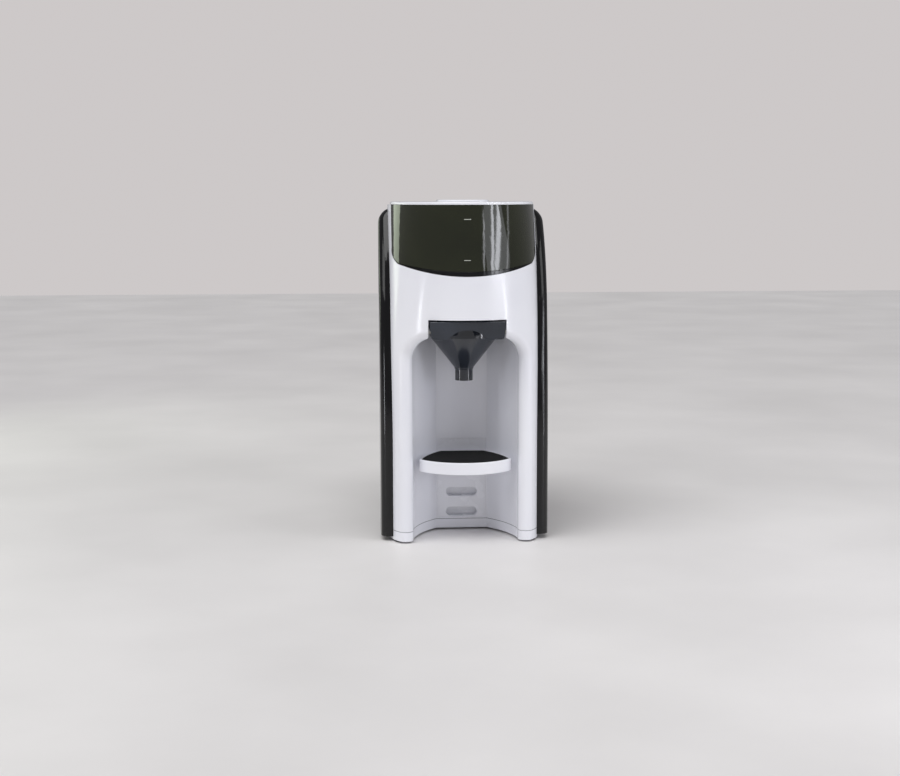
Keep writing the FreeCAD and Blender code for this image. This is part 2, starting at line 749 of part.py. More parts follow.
def base_form(name, inset, z_low, z_high):
    """The base's plan behind its nose as a block: straight sides, then the oval rear."""
    half = f"(Dims.cap_half_width - ({inset}))"
    height = f"{z_high} - ({z_low})"
    sides = [rectangle(f"-{half}", half, depth("Dims.cap_depth_low"), depth("104"))]
    middle = prism(name + "_middle", "XY_Plane", sides, z_low, height)
    rear = oval_body(name + "_rear", "100", f"Dims.base_rear_inset + ({inset})", z_low, z_high)
    return combine("Fuse", name, middle, rear)


BASE_SCREWS = (
    ("-Dims.frame_screw_x", "Dims.frame_depth + Dims.frame_flange / 2"),
    ("Dims.frame_screw_x", "Dims.frame_depth + Dims.frame_flange / 2"),
    ("-Dims.rear_screw_x", "Dims.rear_screw_depth"),
    ("Dims.rear_screw_x", "Dims.rear_screw_depth"),
)


def screw_circles(radius, places=BASE_SCREWS):
    """Circles at the base's screws."""
    return [(x, depth(d), radius) for x, d in places]


def make_base():
    """White base tray with the pilaster feet, screw bosses and foot seats."""
    rear = base_form("base_block", "0", "Dims.base_bottom", "Dims.cap_bottom")
    nose = new_body("base_nose")
    plan = new_sketch(nose, "XY_Plane", "Dims.base_bottom")
    draw_front_plan(plan, "Dims.cap_bottom", "0")
    extrude(nose, plan, "XY_Plane", "Dims.cap_bottom - Dims.base_bottom")
    solid = combine("Fuse", "base_solid", rear, nose)
    floor_z = "Dims.base_bottom + Dims.skin"
    hollow_rear = base_form("base_hollow", "Dims.skin", floor_z, "Dims.cap_bottom + 5")
    bay_rim = bay_form("base_bay_rim", "Dims.skin", "Dims.skin", "-10", "-5")
    hollow = combine("Cut", "base_hollow_cut", hollow_rear, bay_rim)
    tray = combine("Cut", "base_tray", solid, hollow)
    void = bay_form("base_bay_void", "0", "0", "-10", "-5")
    open_tray = combine("Cut", "base_open", tray, void)
    nose_y = size(depth("Dims.bay_throat")) - 10
    half = size("Dims.bay_half_width") + 1
    soft_nose = fillet_edges(
        "base_nosed",
        open_tray,
        "Dims.bay_edge_radius",
        lambda e: e.BoundBox.ZLength > 9 and e.BoundBox.YMax < nose_y and abs(e.BoundBox.Center.x) < half,
    )
    bosses = prism(
        "base_bosses",
        "XY_Plane",
        [],
        "Dims.base_bottom",
        "Dims.cap_bottom - Dims.base_bottom",
        circles=screw_circles("Dims.boss_radius"),
    )
    bossed = combine("Fuse", "base_bossed", soft_nose, bosses)
    holes = prism("base_holes", "XY_Plane", [], "0", "20", circles=screw_circles("Dims.screw_radius + 0.2"))
    add_prism(
        holes, "XY_Plane", [], "0", "Dims.screw_seat", circles=screw_circles("Dims.screw_head_radius + 0.4")
    )
    drilled = combine("Cut", "base_drilled", bossed, holes)
    seats = prism(
        "foot_seats", "XY_Plane", [], "0", "Dims.foot_height", circles=foot_circles("Dims.foot_radius + 0.2")
    )
    keep("base_plate", combine("Cut", "base_plate", drilled, seats))
    return solid


def foot_circles(radius):
    """Circles at the four feet."""
    return [
        (f"{side}Dims.foot_{row}_x", depth(f"Dims.foot_{row}_depth"), radius)
        for row in ("front", "rear")
        for side in ("-", "")
    ]


def make_feet_and_screws():
    """Four rubber feet, and the self-tapping screws that hold the base from below."""
    feet = []
    for number, circle in enumerate(foot_circles("Dims.foot_radius"), start=1):
        foot = prism(f"foot_{number}", "XY_Plane", [], "0", "Dims.foot_height", circles=[circle])
        body_fillet(foot, "1", lies_at_height("0"))
        feet.append(foot)
    keep_group("rubber_feet", feet)
    screws = []
    for number, place in enumerate(BASE_SCREWS, start=1):
        screw = prism(
            f"screw_{number}",
            "XY_Plane",
            [],
            "Dims.screw_seat - Dims.screw_head_height",
            "Dims.screw_head_height",
            circles=screw_circles("Dims.screw_head_radius", [place]),
        )
        body_fillet(screw, "0.8", lies_at_height("Dims.screw_seat - Dims.screw_head_height"))
        add_prism(
            screw,
            "XY_Plane",
            [],
            "Dims.screw_seat",
            "Dims.cap_bottom + Dims.skin + 1 - Dims.screw_seat",
            circles=screw_circles("Dims.screw_radius", [place]),
        )
        screws.append(screw)
    keep_group("base_screws", screws)


def make_tray_rail():
    """Moulded rail in the bay's back wall, with three blind slots for the tray's tongue."""
    face = depth("Dims.bay_back + 0.3")
    half = f"(Dims.rail_half_width - {TOUCH})"
    outline = rectangle(f"-{half}", half, f"Dims.rail_bottom + {TOUCH}", f"Dims.rail_top - {TOUCH}")
    body = prism("tray_rail", "XZ_Plane", [outline], face, "Dims.slot_recess + 2")
    slots = [
        pill("0", f"Dims.slot_{place}_z", "Dims.slot_width", "Dims.slot_height")
        for place in ("low", "mid", "high")
    ]
    cut_prism(body, "XZ_Plane", slots, face, "Dims.slot_recess")
    face_y = size(face)
    slot_half = size("Dims.slot_width / 2") + 0.1

    def is_slot_mouth(edge):
        box = edge.BoundBox
        flat = abs(box.YMin - face_y) < 0.01 and abs(box.YMax - face_y) < 0.01
        return flat and max(abs(box.XMin), abs(box.XMax)) < slot_half

    body_fillet(body, "1.2", is_slot_mouth)
    keep("tray_rail", body)


# --- Dark body: side panels, deck, rear cover --------------------------------------------------

def make_dark_body(cap_solid, base_solid):
    """Side panels and top deck, cut from one oval form round the housing and the base."""
    outer = oval_body(
        "oval_outer", "35", "0", "Dims.panel_bottom", "Dims.body_top", "Dims.shoulder_radius"
    )
    swoosh = prism("swoosh", "YZ_Plane", [swoosh_outline()], "-100", "200")
    swept = combine("Cut", "oval_swept", outer, swoosh)
    lip = fillet_edges("oval_lip", swept, "Dims.lip_radius", is_lip_edge)
    hollow = oval_body(
        "oval_inner",
        "20",
        "Dims.skin",
        "Dims.panel_bottom + Dims.skin",
        "Dims.body_top - Dims.skin",
        "Dims.shoulder_radius - Dims.skin",
    )
    lip_zone = prism("lip_zone", "YZ_Plane", [swoosh_outline("Dims.lip_radius")], "-100", "200")
    hollow_back = combine("Cut", "oval_hollow", hollow, lip_zone)
    shell = combine("Cut", "oval_shell", lip, hollow_back)
    clear_of_cap = combine("Cut", "oval_clear_of_cap", shell, cap_solid)
    clear = combine("Cut", "oval_clear", clear_of_cap, base_solid)
    well_half = "(Dims.window_half_width + 0.2)"
    well = rounded(
        f"-{well_half}", well_half, depth("-20"), depth("Dims.frame_depth"), "Dims.hopper_corner + 0.4"
    )
    hopper_well = prism("hopper_well", "XY_Plane", [well], "Dims.hopper_bottom", THROUGH)
    welled = combine("Cut", "oval_welled", clear, hopper_well)
    panel_edge = "Dims.deck_half_width + 0.1"
    side_zones = {
        "left": rectangle("-100", f"-({panel_edge})", depth("20"), depth("Dims.rear_split")),
        "right": rectangle(panel_edge, "100", depth("20"), depth("Dims.rear_split")),
    }
    for side, outline in side_zones.items():
        zone = prism(side + "_zone", "XY_Plane", [outline], "0", THROUGH)
        panel = combine("Common", side + "_panel_blank", welled, zone)
        if side == "right":
            opening = prism("control_opening", "YZ_Plane", [control_outline("0")], "60", "60")
            panel = combine("Cut", "right_panel_cut", panel, opening)
        keep(side + "_side_panel", panel)
    deck_span = rectangle(
        "-Dims.deck_half_width", "Dims.deck_half_width", depth("Dims.frame_depth"), depth("Dims.rear_split")
    )
    deck_zone = prism("deck_zone", "XY_Plane", [deck_span], "Dims.body_top - Dims.skin - 0.5", "30")
    deck = combine("Common", "deck_skin", welled, deck_zone)
    flange_face = rectangle(
        "-Dims.deck_half_width", "Dims.deck_half_width", "Dims.frame_top + 0.1", "Dims.body_top - Dims.skin"
    )
    flange = prism("deck_flange", "XZ_Plane", [flange_face], depth("Dims.frame_depth"), "Dims.skin")
    keep("top_deck", combine("Fuse", "top_deck", deck, flange))


def is_lip_edge(edge):
    """The front edge of the dark panels, along the swept cut."""
    box = edge.BoundBox
    outermost = side_x(size("Dims.swoosh_foot")) - 20
    foot_y = size(depth("Dims.swoosh_foot")) - 0.5
    top_y = size(depth("Dims.swoosh_foot + Dims.swoosh_sweep"))
    ahead = box.YMin < top_y and foot_y < box.YMax < top_y + 4
    return abs(box.Center.x) > outermost and ahead and box.ZLength > 5


def make_rear(base_solid):
    """Rear cover with louvres, inlet opening and screw lugs, tank shelf and bulkhead."""
    shelf_top = "Dims.shelf_z + Dims.shelf_thickness"
    outer = oval_body("rear_outer", "Dims.rear_split", "0", "Dims.panel_bottom", shelf_top)
    inner = oval_body(
        "rear_inner",
        "Dims.rear_split - 5",
        "Dims.skin",
        "Dims.panel_bottom + Dims.skin",
        f"{shelf_top} + 5",
    )
    skin = combine("Cut", "rear_skin", outer, inner)
    clear = combine("Cut", "rear_clear", skin, base_solid)
    lug_low = f"Dims.cap_bottom + {TOUCH}"
    lug_plans = []
    for side in ("-", ""):
        edges = (f"{side}(Dims.rear_screw_x - 6)", f"{side}(Dims.rear_screw_x + 6)")
        low, high = reversed(edges) if side else edges
        lug_plans.append(
            rectangle(low, high, depth("Dims.rear_screw_depth - 6"), depth("Dims.overall_depth"))
        )
    lug_blocks = prism("rear_lug_blocks", "XY_Plane", lug_plans, lug_low, "Dims.skin")
    lugs = combine("Common", "rear_lugs", lug_blocks, outer)
    lugged = combine("Fuse", "rear_lugged", clear, lugs)
    pilots = prism(
        "rear_pilots",
        "XY_Plane",
        [],
        "Dims.cap_bottom - 1",
        "Dims.skin + 4",
        circles=screw_circles(f"Dims.screw_radius + {TOUCH}", BASE_SCREWS[2:]),
    )
    piloted = combine("Cut", "rear_piloted", lugged, pilots)
    louvres = [
        pill(
            "0",
            f"(Dims.louvre_low_z + {index} * Dims.louvre_pitch)",
            "Dims.louvre_length",
            "Dims.louvre_height",
        )
        for index in range(int(size("Dims.louvre_count")))
    ]
    vents = prism("rear_vents", "XZ_Plane", louvres, depth("290"), "20")
    vented = combine("Cut", "rear_vented", piloted, vents)
    inlet_hole = prism("inlet_hole", "XZ_Plane", [inlet_outline("0")], depth("290"), "20")
    keep("rear_cover", combine("Cut", "rear_cover", vented, inlet_hole))

    shelf = oval_body(
        "tank_shelf", "Dims.rear_split + Dims.skin", "Dims.skin + 0.3", "Dims.shelf_z", shelf_top
    )
    cut_prism(
        shelf,
        "XY_Plane",
        [],
        "Dims.shelf_z - 1",
        "10",
        circles=[("0", depth("Dims.valve_depth"), "Dims.dock_radius + 0.1")],
    )
    keep("tank_shelf", shelf)

    half = side_x(size("Dims.rear_split + Dims.skin"), size("Dims.skin") + 0.1)
    plate = rounded(
        str(-half),
        str(half),
        "Dims.cap_bottom + 0.1",
        "Dims.body_top - Dims.skin - 0.1",
        "Dims.shoulder_radius - Dims.skin",
    )
    bulkhead = prism("rear_bulkhead", "XZ_Plane", [plate], depth("Dims.rear_split"), "Dims.skin")
    hose_gap = rounded("-30", "30", "30", "97", "6")
    cut_prism(bulkhead, "XZ_Plane", [hose_gap], depth("Dims.rear_split - 1"), "8")
    keep("rear_bulkhead", bulkhead)


def make_chassis_frame():
    """Upright chassis plate behind the hopper, with lightening holes and a screwed foot."""
    half = side_x(size("Dims.frame_depth + Dims.skin"), size("Dims.skin") + 0.2)
    foot_z = f"Dims.cap_bottom + {TOUCH}"
    plate = rounded(str(-half), str(half), foot_z, "Dims.frame_top", "8")
    body = prism("chassis_frame", "XZ_Plane", [plate], depth("Dims.frame_depth"), "Dims.skin")
    lightening = [pill(x, "118", "26", "14") for x in ("-45", "0", "45")]
    hose_gap = rounded("12", "36", "240", "262", "5")
    board_gap = rectangle("66", "95", "Dims.control_low - 4", "Dims.control_high + 4")
    cut_prism(
        body, "XZ_Plane", lightening + [hose_gap, board_gap], depth("Dims.frame_depth - 1"), "8"
    )
    foot = rectangle("-60", "60", depth("Dims.frame_depth"), depth("Dims.frame_depth + Dims.frame_flange"))
    add_prism(body, "XY_Plane", [foot], foot_z, "Dims.skin")
    cut_prism(
        body,
        "XY_Plane",
        [],
        "Dims.cap_bottom - 1",
        "Dims.skin + 4",
        circles=screw_circles(f"Dims.screw_radius + {TOUCH}", BASE_SCREWS[:2]),
    )
    keep("chassis_frame", body)


# --- Powder hopper, lid and dosing drive -------------------------------------------------------

def hopper_rear_outline(inset):
    """Plan of the hopper behind the curved front."""
    half = f"(Dims.window_half_width - Dims.fit_gap - ({inset}))"
    back = depth(f"Dims.hopper_back - ({inset})")
    return rounded(f"-{half}", half, depth("58"), back, f"(Dims.hopper_corner - ({inset}))")


def upright_zone(level):
    """All above `level`, and below it only what stands under the front's plan at that level."""
    above = prism(
        "above_level", "XY_Plane", [rectangle("-90", "90", depth("-5"), depth("90"))], level, "100"
    )
    below = new_body("below_level")
    start = "Dims.hopper_bottom - 20"
    sketch = new_sketch(below, "XY_Plane", start)
    draw_front_plan(sketch, level, "Dims.window_wall + 0.3", straight=40)
    extrude(below, sketch, "XY_Plane", f"{level} - ({start})")
    return combine("Fuse", "upright_zone", above, below)


def dosing_chamber():
    """The round chamber of the dosing wheel, and the cone by which the box narrows onto it."""
    chamber = new_body("dosing_chamber")
    floor = "Dims.hopper_bottom + 3"
    top = "Dims.hopper_bottom + Dims.hopper_floor + 1"
    outline = [
        ("0", floor),
        ("Dims.chamber_radius", floor),
        ("Dims.chamber_radius", "Dims.hopper_bottom + Dims.chamber_height"),
        ("Dims.chamber_radius + 3", top),
        ("0", top),
    ]
    revolve(chamber, "XZ_Plane", outline, depth("Dims.wheel_depth"))
    return chamber


def make_hopper(outer):
    """Lift-out powder hopper: smoked window, tub, dosing chamber and wiper cover."""
    window_form = cap_loft("window_form", "Dims.window_wall")
    tub_form = cap_loft("tub_form", "Dims.window_wall + Dims.hopper_wall")
    window_skin = combine("Cut", "window_skin", outer, window_form)
    opening = prism(
        "window_pane",
        "XZ_Plane",
        [window_outline("Dims.fit_gap", "Dims.strip_height")],
        depth("-10"),
        "Dims.cap_depth_gain + 80",
    )
    pane = combine("Common", "window_cut", window_skin, opening)
    keep("smoked_window", pane)

    joint = "80"
    height = "Dims.cap_top - Dims.hopper_bottom"
    half = "(Dims.window_half_width - Dims.fit_gap)"
    side_limit = prism(
        "hopper_limit",
        "XY_Plane",
        [rectangle(f"-{half}", half, depth("0"), depth("90"))],
        "Dims.hopper_bottom",
        height,
    )
    front_form = combine("Common", "hopper_front_form", window_form, side_limit)
    upright = upright_zone("Dims.smile_end_z + 2")
    front_half = combine("Common", "hopper_front", front_form, upright)
    rear_half = prism(
        "hopper_rear", "XY_Plane", [hopper_rear_outline("0")], "Dims.hopper_bottom", height
    )
    front_zone = prism(
        "hopper_front_zone", "XY_Plane", [rectangle("-100", "100", depth("0"), depth(joint))], "0", THROUGH
    )
    rear_only = combine("Cut", "hopper_rear_only", rear_half, front_zone)
    front_only = combine("Common", "hopper_front_only", front_half, front_zone)
    solid = combine("Fuse", "hopper_solid", front_only, rear_only)

    floor_z = "Dims.hopper_bottom + Dims.hopper_floor"
    inner_half = "(Dims.window_half_width - Dims.fit_gap - Dims.hopper_wall - 0.1)"
    hollow_limit = prism(
        "hollow_limit",
        "XY_Plane",
        [rectangle(f"-{inner_half}", inner_half, depth("0"), depth(joint))],
        floor_z,
        "120",
    )
    hollow_front = combine("Common", "hollow_front", tub_form, hollow_limit)
    hollow_rear = prism(
        "hollow_rear", "XY_Plane", [hopper_rear_outline("Dims.hopper_wall + 0.1")], floor_z, "120"
    )
    hollow_rear_only = combine("Cut", "hollow_rear_only", hollow_rear, front_zone)
    hollow = combine("Fuse", "hopper_hollow", hollow_front, hollow_rear_only)
    inside = combine("Fuse", "hopper_inside", hollow, dosing_chamber())
    tub = combine("Cut", "hopper_tub", solid, inside)
    holes = prism(
        "hopper_holes",
        "XY_Plane",
        [],
        "Dims.hopper_bottom - 5",
        "12",
        circles=[
            ("0", depth("Dims.spout_depth"), "Dims.pocket_radius"),
            ("0", depth("Dims.wheel_depth"), "Dims.dog_hole"),
        ],
    )
    bored = combine("Cut", "hopper_bored", tub, holes)
    keep("powder_hopper", combine("Cut", "powder_hopper", bored, pane))
    make_wiper()


def make_wiper():
    """Wiper over the emptying pocket, hooked onto the hopper's inner shelf."""
    half = "Dims.wiper_half_width"
    edge = "Dims.wheel_depth - 38"
    blade = [
        ("14", depth("Dims.wheel_depth - 22")),
        (half, depth(f"{edge} - 1.2")),
        (f"-{half}", depth(f"{edge} - 1.2"), "-4.2"),
        ("-14", depth("Dims.wheel_depth - 22")),
    ]
    blade_z = "Dims.hopper_bottom + 10.6"
    wiper = prism("wiper_cover", "XY_Plane", [blade], blade_z, "2")
    tab = rectangle(f"-{half}", half, depth(f"{edge} - 9"), depth(edge))
    add_prism(wiper, "XY_Plane", [tab], "Dims.hopper_bottom + Dims.hopper_floor", "2")
    web = rectangle(f"-{half}", half, depth(f"{edge} - 1"), depth(f"{edge} + 1.5"))
    add_prism(wiper, "XY_Plane", [web], blade_z, "6")
    keep("wiper_cover", wiper)


def skirt_outline(spread):
    """Plan of the skirt under the lid, widened by `spread`."""
    half = f"(Dims.skirt_half_width + ({spread}))"
    return rounded(
        f"-{half}",
        half,
        depth(f"Dims.skirt_front - ({spread})"),
        depth(f"Dims.skirt_back + ({spread})"),
        f"Dims.skirt_corner + ({spread})",
    )


def make_lid():
    """White lift-off lid with a raised grip, and the seal under it."""
    lid = new_body("hopper_lid")
    low = "Dims.cap_top + 0.2"
    back = "(Dims.hopper_back + 1)"
    plan = new_sketch(lid, "XY_Plane", low)
    straight = size(back) - plan_depth_at("Dims.cap_top", "0")
    draw_front_plan(plan, "Dims.cap_top", "0", straight=straight)
    extrude(lid, plan, "XY_Plane", "Dims.lid_thickness")
    half = "(Dims.window_half_width - 0.3)"
    outside = rectangle("-100", "100", depth("-40"), depth("200"))
    kept = rounded(f"-{half}", half, depth("-30"), depth(back), "Dims.hopper_corner")
    cut_prism(lid, "XY_Plane", [outside, kept], "Dims.cap_top", "10")
    top = f"{low} + Dims.lid_thickness"
    body_fillet(lid, "1.6", lies_at_height(top))
    grip = rounded(
        "-Dims.grip_half_width",
        "Dims.grip_half_width",
        depth("Dims.grip_front"),
        depth("Dims.grip_back"),
        "Dims.grip_corner",
    )
    add_prism(lid, "XY_Plane", [grip], f"{top} - 0.1", f"Dims.overall_height - ({top}) + 0.1")
    body_fillet(lid, "1.5", lies_at_height("Dims.overall_height"))
    skirt = [skirt_outline("0"), skirt_outline("-2.5")]
    add_prism(lid, "XY_Plane", skirt, "Dims.cap_top - Dims.skirt_drop", "Dims.skirt_drop + 0.3")
    keep("hopper_lid", lid)
    ring = [skirt_outline("Dims.seal_bead"), skirt_outline("0")]
    keep("lid_seal", prism("lid_seal", "XY_Plane", ring, "Dims.cap_top - 3.5", "2"))


def make_dosing_wheel():
    """Pocketed dosing wheel with a hexagonal socket, and the stirrer arms above it."""
    centre_y = depth("Dims.wheel_depth")
    low = "Dims.hopper_bottom + Dims.wheel_lift"
    body = prism(
        "dosing_wheel",
        "XY_Plane",
        [],
        low,
        "Dims.wheel_thickness",
        circles=[("0", centre_y, "Dims.wheel_radius")],
    )
    add_prism(body, "XY_Plane", [], low, "Dims.hub_height", circles=[("0", centre_y, "Dims.hub_radius")])
    pitch = "(Dims.wheel_depth - Dims.spout_depth)"
    count = int(size("Dims.pocket_count"))
    pockets = []
    for index in range(count):
        angle = 2 * math.pi * (index + 0.5) / count
        x = f"{math.cos(angle)} * {pitch}"
        y = f"{centre_y} + {math.sin(angle)} * {pitch}"
        pockets.append((x, y, "Dims.pocket_radius"))
    cut_prism(body, "XY_Plane", [], f"{low} - 1", "Dims.wheel_thickness + 2", circles=pockets)
    socket = hexagon(size("Dims.dog_flats / 2 + 0.25"), size(centre_y))
    cut_prism(body, "XY_Plane", [socket], f"{low} - 0.1", "Dims.dog_height - 0.5")
    keep("dosing_wheel", body)

    collar_z = "Dims.hopper_bottom + 14"
    collar_height = f"{low} + Dims.hub_height - ({collar_z}) - 0.4"
    arms = prism(
        "stirrer_arms",
        "XY_Plane",
        [],
        collar_z,
        collar_height,
        circles=[("0", centre_y, "Dims.arm_collar")],
    )
    bore = [("0", centre_y, f"Dims.hub_radius + {TOUCH}")]
    cut_prism(arms, "XY_Plane", [], f"{collar_z} - 1", "20", circles=bore)
    half = "Dims.arm_width / 2"
    sides = (depth(f"Dims.wheel_depth - {half}"), depth(f"Dims.wheel_depth + {half}"))
    blades = [
        rounded("12", "Dims.arm_reach", *sides, "2"),
        rounded("-Dims.arm_reach", "-12", *sides, "2"),
    ]
    add_prism(arms, "XY_Plane", blades, "Dims.hopper_bottom + 18.4", "4")
    keep("stirrer_arms", arms)


def hexagon(inner_radius, centre_y):
    """Corners of a hexagon about the dosing axis, by its distance to the flats."""
    outer_radius = inner_radius / math.cos(math.pi / 6)
    points = []
    for index in range(6):
        angle = math.pi / 3 * index
        points.append((outer_radius * math.cos(angle), centre_y + outer_radius * math.sin(angle)))
    return points


def gear_solid(teeth, face_width):
    """An involute spur gear standing on the XY plane, a tooth on +X."""
    pressure_angle = 20
    wires = fcgear.FCWireBuilder()
    involute.CreateExternalGear(wires, size("Dims.gear_module"), teeth, pressure_angle, True)
    outline = Part.Wire([piece.toShape() for piece in wires.wire])
    return Part.Face(outline).extrude(Vector(0, 0, face_width))


def make_drive():
    """Drive gear with its hexagonal dog, and the motor pinion in mesh behind it."""
    gear_teeth = int(size("Dims.gear_teeth"))
    pinion_teeth = int(size("Dims.pinion_teeth"))
    face = size("Dims.gear_face")
    base_z = size("Dims.gear_bottom")
    wheel_y = size(depth("Dims.wheel_depth"))
    collar_radius = 8
    collar_height = 2

    gear = gear_solid(gear_teeth, face)
    shaft_low = size("Dims.deck_bottom - 2") - base_z
    shaft = Part.makeCylinder(size("Dims.shaft_radius"), -shaft_low, Vector(0, 0, shaft_low))
    collar = Part.makeCylinder(collar_radius, collar_height, Vector(0, 0, face))
    corners = [Vector(x, y, face + collar_height) for x, y in hexagon(size("Dims.dog_flats / 2"), 0)]
    dog_face = Part.Face(Part.makePolygon(corners + corners[:1]))
    dog = dog_face.extrude(Vector(0, 0, size("Dims.dog_height")))
    drive = doc.addObject("Part::Feature", "drive_gear")
    drive.Shape = gear.fuse([shaft, collar, dog]).removeSplitter()
    drive.Placement = Placement(Vector(0, wheel_y, base_z), Rotation())
    keep("drive_gear", drive)

    spacing = size("Dims.gear_module") * (gear_teeth + pinion_teeth) / 2 + size("Dims.gear_backlash")
    pinion = gear_solid(pinion_teeth, face)
    spindle = Part.makeCylinder(size("Dims.spindle_radius"), 16, Vector(0, 0, -14))
    driven = doc.addObject("Part::Feature", "motor_pinion")
    driven.Shape = pinion.fuse(spindle).removeSplitter()
    half_pitch = 180 / pinion_teeth
    driven.Placement = Placement(
        Vector(0, wheel_y + spacing, base_z), Rotation(Vector(0, 0, 1), half_pitch)
    )
    keep("motor_pinion", driven)
    return wheel_y + spacing


def make_deck(motor_y):
    """Dosing deck under the hopper, its motor and the powder chute."""
    deck_form = cap_loft("deck_form", "Dims.skin + 2")
    rim_height = "Dims.hopper_bottom - 0.2 - Dims.deck_bottom"
    front_zone = rectangle("-70", "70", depth("4"), depth("54"))
    slab = prism("deck_slab", "XY_Plane", [front_zone], "Dims.deck_bottom", rim_height)
    front_part = combine("Common", "deck_front", deck_form, slab)
    rear_part = prism(
        "deck_rear",
        "XY_Plane",
        [rectangle("-70", "70", depth("54"), depth("Dims.frame_depth"))],
        "Dims.deck_bottom",
        rim_height,
    )
    solid = combine("Fuse", "deck_solid", front_part, rear_part)
    well = prism(
        "deck_well",
        "XY_Plane",
        [rounded("-60", "60", depth("30"), depth("139"), "18")],
        "Dims.deck_bottom + Dims.deck_thickness",
        "30",
    )
    rimmed = combine("Cut", "deck_rimmed", solid, well)
    motor_hub = 3.9
    holes = prism(
        "deck_holes",
        "XY_Plane",
        [],
        "Dims.deck_bottom - 2",
        "10",
        circles=[
            ("0", depth("Dims.spout_depth"), "Dims.chute_radius + 0.1"),
            ("0", depth("Dims.wheel_depth"), "Dims.shaft_radius + Dims.running_gap"),
            ("0", str(motor_y), str(motor_hub + 0.1)),
        ],
    )
    drilled = combine("Cut", "deck_drilled", rimmed, holes)
    post_foot = "Dims.slot_top + Dims.skin"
    posts = prism(
        "deck_posts",
        "XY_Plane",
        [],
        post_foot,
        f"Dims.deck_bottom - ({post_foot})",
        circles=[(x, depth(d), "4") for x in ("-36", "36") for d in ("28", "92")],
    )
    keep("dosing_deck", combine("Fuse", "dosing_deck", drilled, posts))

    chute_low = "Dims.slot_top + 1.5"
    axis = ("0", depth("Dims.spout_depth"))
    chute = prism(
        "powder_chute",
        "XY_Plane",
        [],
        chute_low,
        f"Dims.hopper_bottom - 0.3 - ({chute_low})",
        circles=[(*axis, "Dims.chute_radius")],
    )
    cut_prism(chute, "XY_Plane", [], f"{chute_low} - 1", "60", circles=[(*axis, "Dims.chute_bore")])
    keep("powder_chute", chute)

    centre = ("0", str(motor_y))
    motor = prism(
        "dosing_motor",
        "XY_Plane",
        [],
        "Dims.motor_bottom",
        "Dims.deck_bottom - Dims.motor_bottom",
        circles=[(*centre, "Dims.motor_radius")],
    )
    add_prism(motor, "XY_Plane", [], "Dims.deck_bottom", "2", circles=[(*centre, str(motor_hub))])
    add_prism(motor, "XY_Plane", [], "Dims.motor_bottom - 8", "8", circles=[(*centre, "5")])
    spindle_bore = [(*centre, "Dims.spindle_radius + Dims.running_gap")]
    cut_prism(motor, "XY_Plane", [], "Dims.deck_bottom - 11", "14", circles=spindle_bore)
    keep("dosing_motor", motor)


# --- Funnel and tray ---------------------------------------------------------------------------

def make_funnel():
    """Slide-out funnel: hollow cone, guide flange and front band with a finger notch."""
    axis_y = depth("Dims.spout_depth")
    inner_spout = "Dims.spout_radius - Dims.funnel_wall"
    bead = "Dims.spout_radius + Dims.spout_step"
    inner_cone = "Dims.cone_radius - Dims.funnel_wall"
    collar_top = "Dims.flange_bottom + 1"
    body = new_body("funnel")
    outline = [
        (inner_spout, "Dims.spout_bottom"),
        ("Dims.spout_radius", "Dims.spout_bottom"),
        ("Dims.spout_radius", "Dims.cone_bottom - 2"),
        (bead, "Dims.cone_bottom - 1"),
        (bead, "Dims.cone_bottom"),
        ("Dims.cone_radius", "Dims.cone_top - 1"),
        ("Dims.cone_radius", collar_top),
        (inner_cone, collar_top),
        (inner_cone, "Dims.cone_top"),
        (inner_spout, "Dims.cone_bottom + 1"),
    ]
    revolve(body, "XZ_Plane", outline, axis_y)
    half = "Dims.funnel_half_width"
    flange = rounded(f"-{half}", half, depth("4"), depth("Dims.funnel_back"), "3")
    add_prism(
        body,
        "XY_Plane",
        [flange],
        "Dims.flange_bottom",
        "Dims.flange_thickness",
        circles=[("0", axis_y, inner_cone)],
    )
    low = "Dims.cone_top"
    narrow = f"({half} - Dims.band_taper)"
    corner = "3"
    bow = f"{QUARTER_BOW} * {corner}"
    band = [
        (half, "Dims.band_top"),
        (f"-{half}", "Dims.band_top"),
        (f"-{narrow}", f"{low} + {corner}"),
        (f"-{narrow} + {corner}", low, bow),
        ("-Dims.notch_half_width", low),
        ("Dims.notch_half_width", low, "-Dims.notch_rise"),
        (f"{narrow} - {corner}", low),
        (narrow, f"{low} + {corner}", bow),
    ]
    add_prism(body, "XZ_Plane", [band], depth("Dims.band_front"), "Dims.band_thickness")
    body_fillet(body, "0.8", lies_at_height("Dims.band_top"))
    keep("funnel", body)

    inner_half = f"({half} - Dims.fit_gap)"
    plate_z = "Dims.flange_bottom + Dims.flange_thickness"
    plate = rounded(f"-{inner_half}", inner_half, depth("8"), depth("Dims.funnel_back"), "3")
    cover = prism("funnel_cover", "XY_Plane", [plate], plate_z, "2")
    mouth = ("0", depth("Dims.spout_depth + Dims.mouth_shift"))
    add_prism(cover, "XY_Plane", [], f"{plate_z} + 2", "3", circles=[(*mouth, "Dims.mouth_radius + 3")])
    cut_prism(cover, "XY_Plane", [], f"{plate_z} - 1", "20", circles=[(*mouth, "Dims.mouth_radius + 0.5")])
    keep("funnel_cover", cover)


def make_guides():
    """Two ledges in the slot that carry the funnel's flange."""
    rails = []
    for side, sign in (("left", "-"), ("right", "")):
        edges = (f"{sign}(Dims.slot_half_width - 3)", f"{sign}Dims.slot_half_width")
        low, high = reversed(edges) if sign else edges
        ledge = rectangle(low, high, depth("12"), depth("Dims.bay_back + 0.1"))
        rails.append(prism(f"guide_{side}", "XY_Plane", [ledge], "Dims.flange_bottom - 3.3", "3"))
    keep_group("funnel_guides", rails)


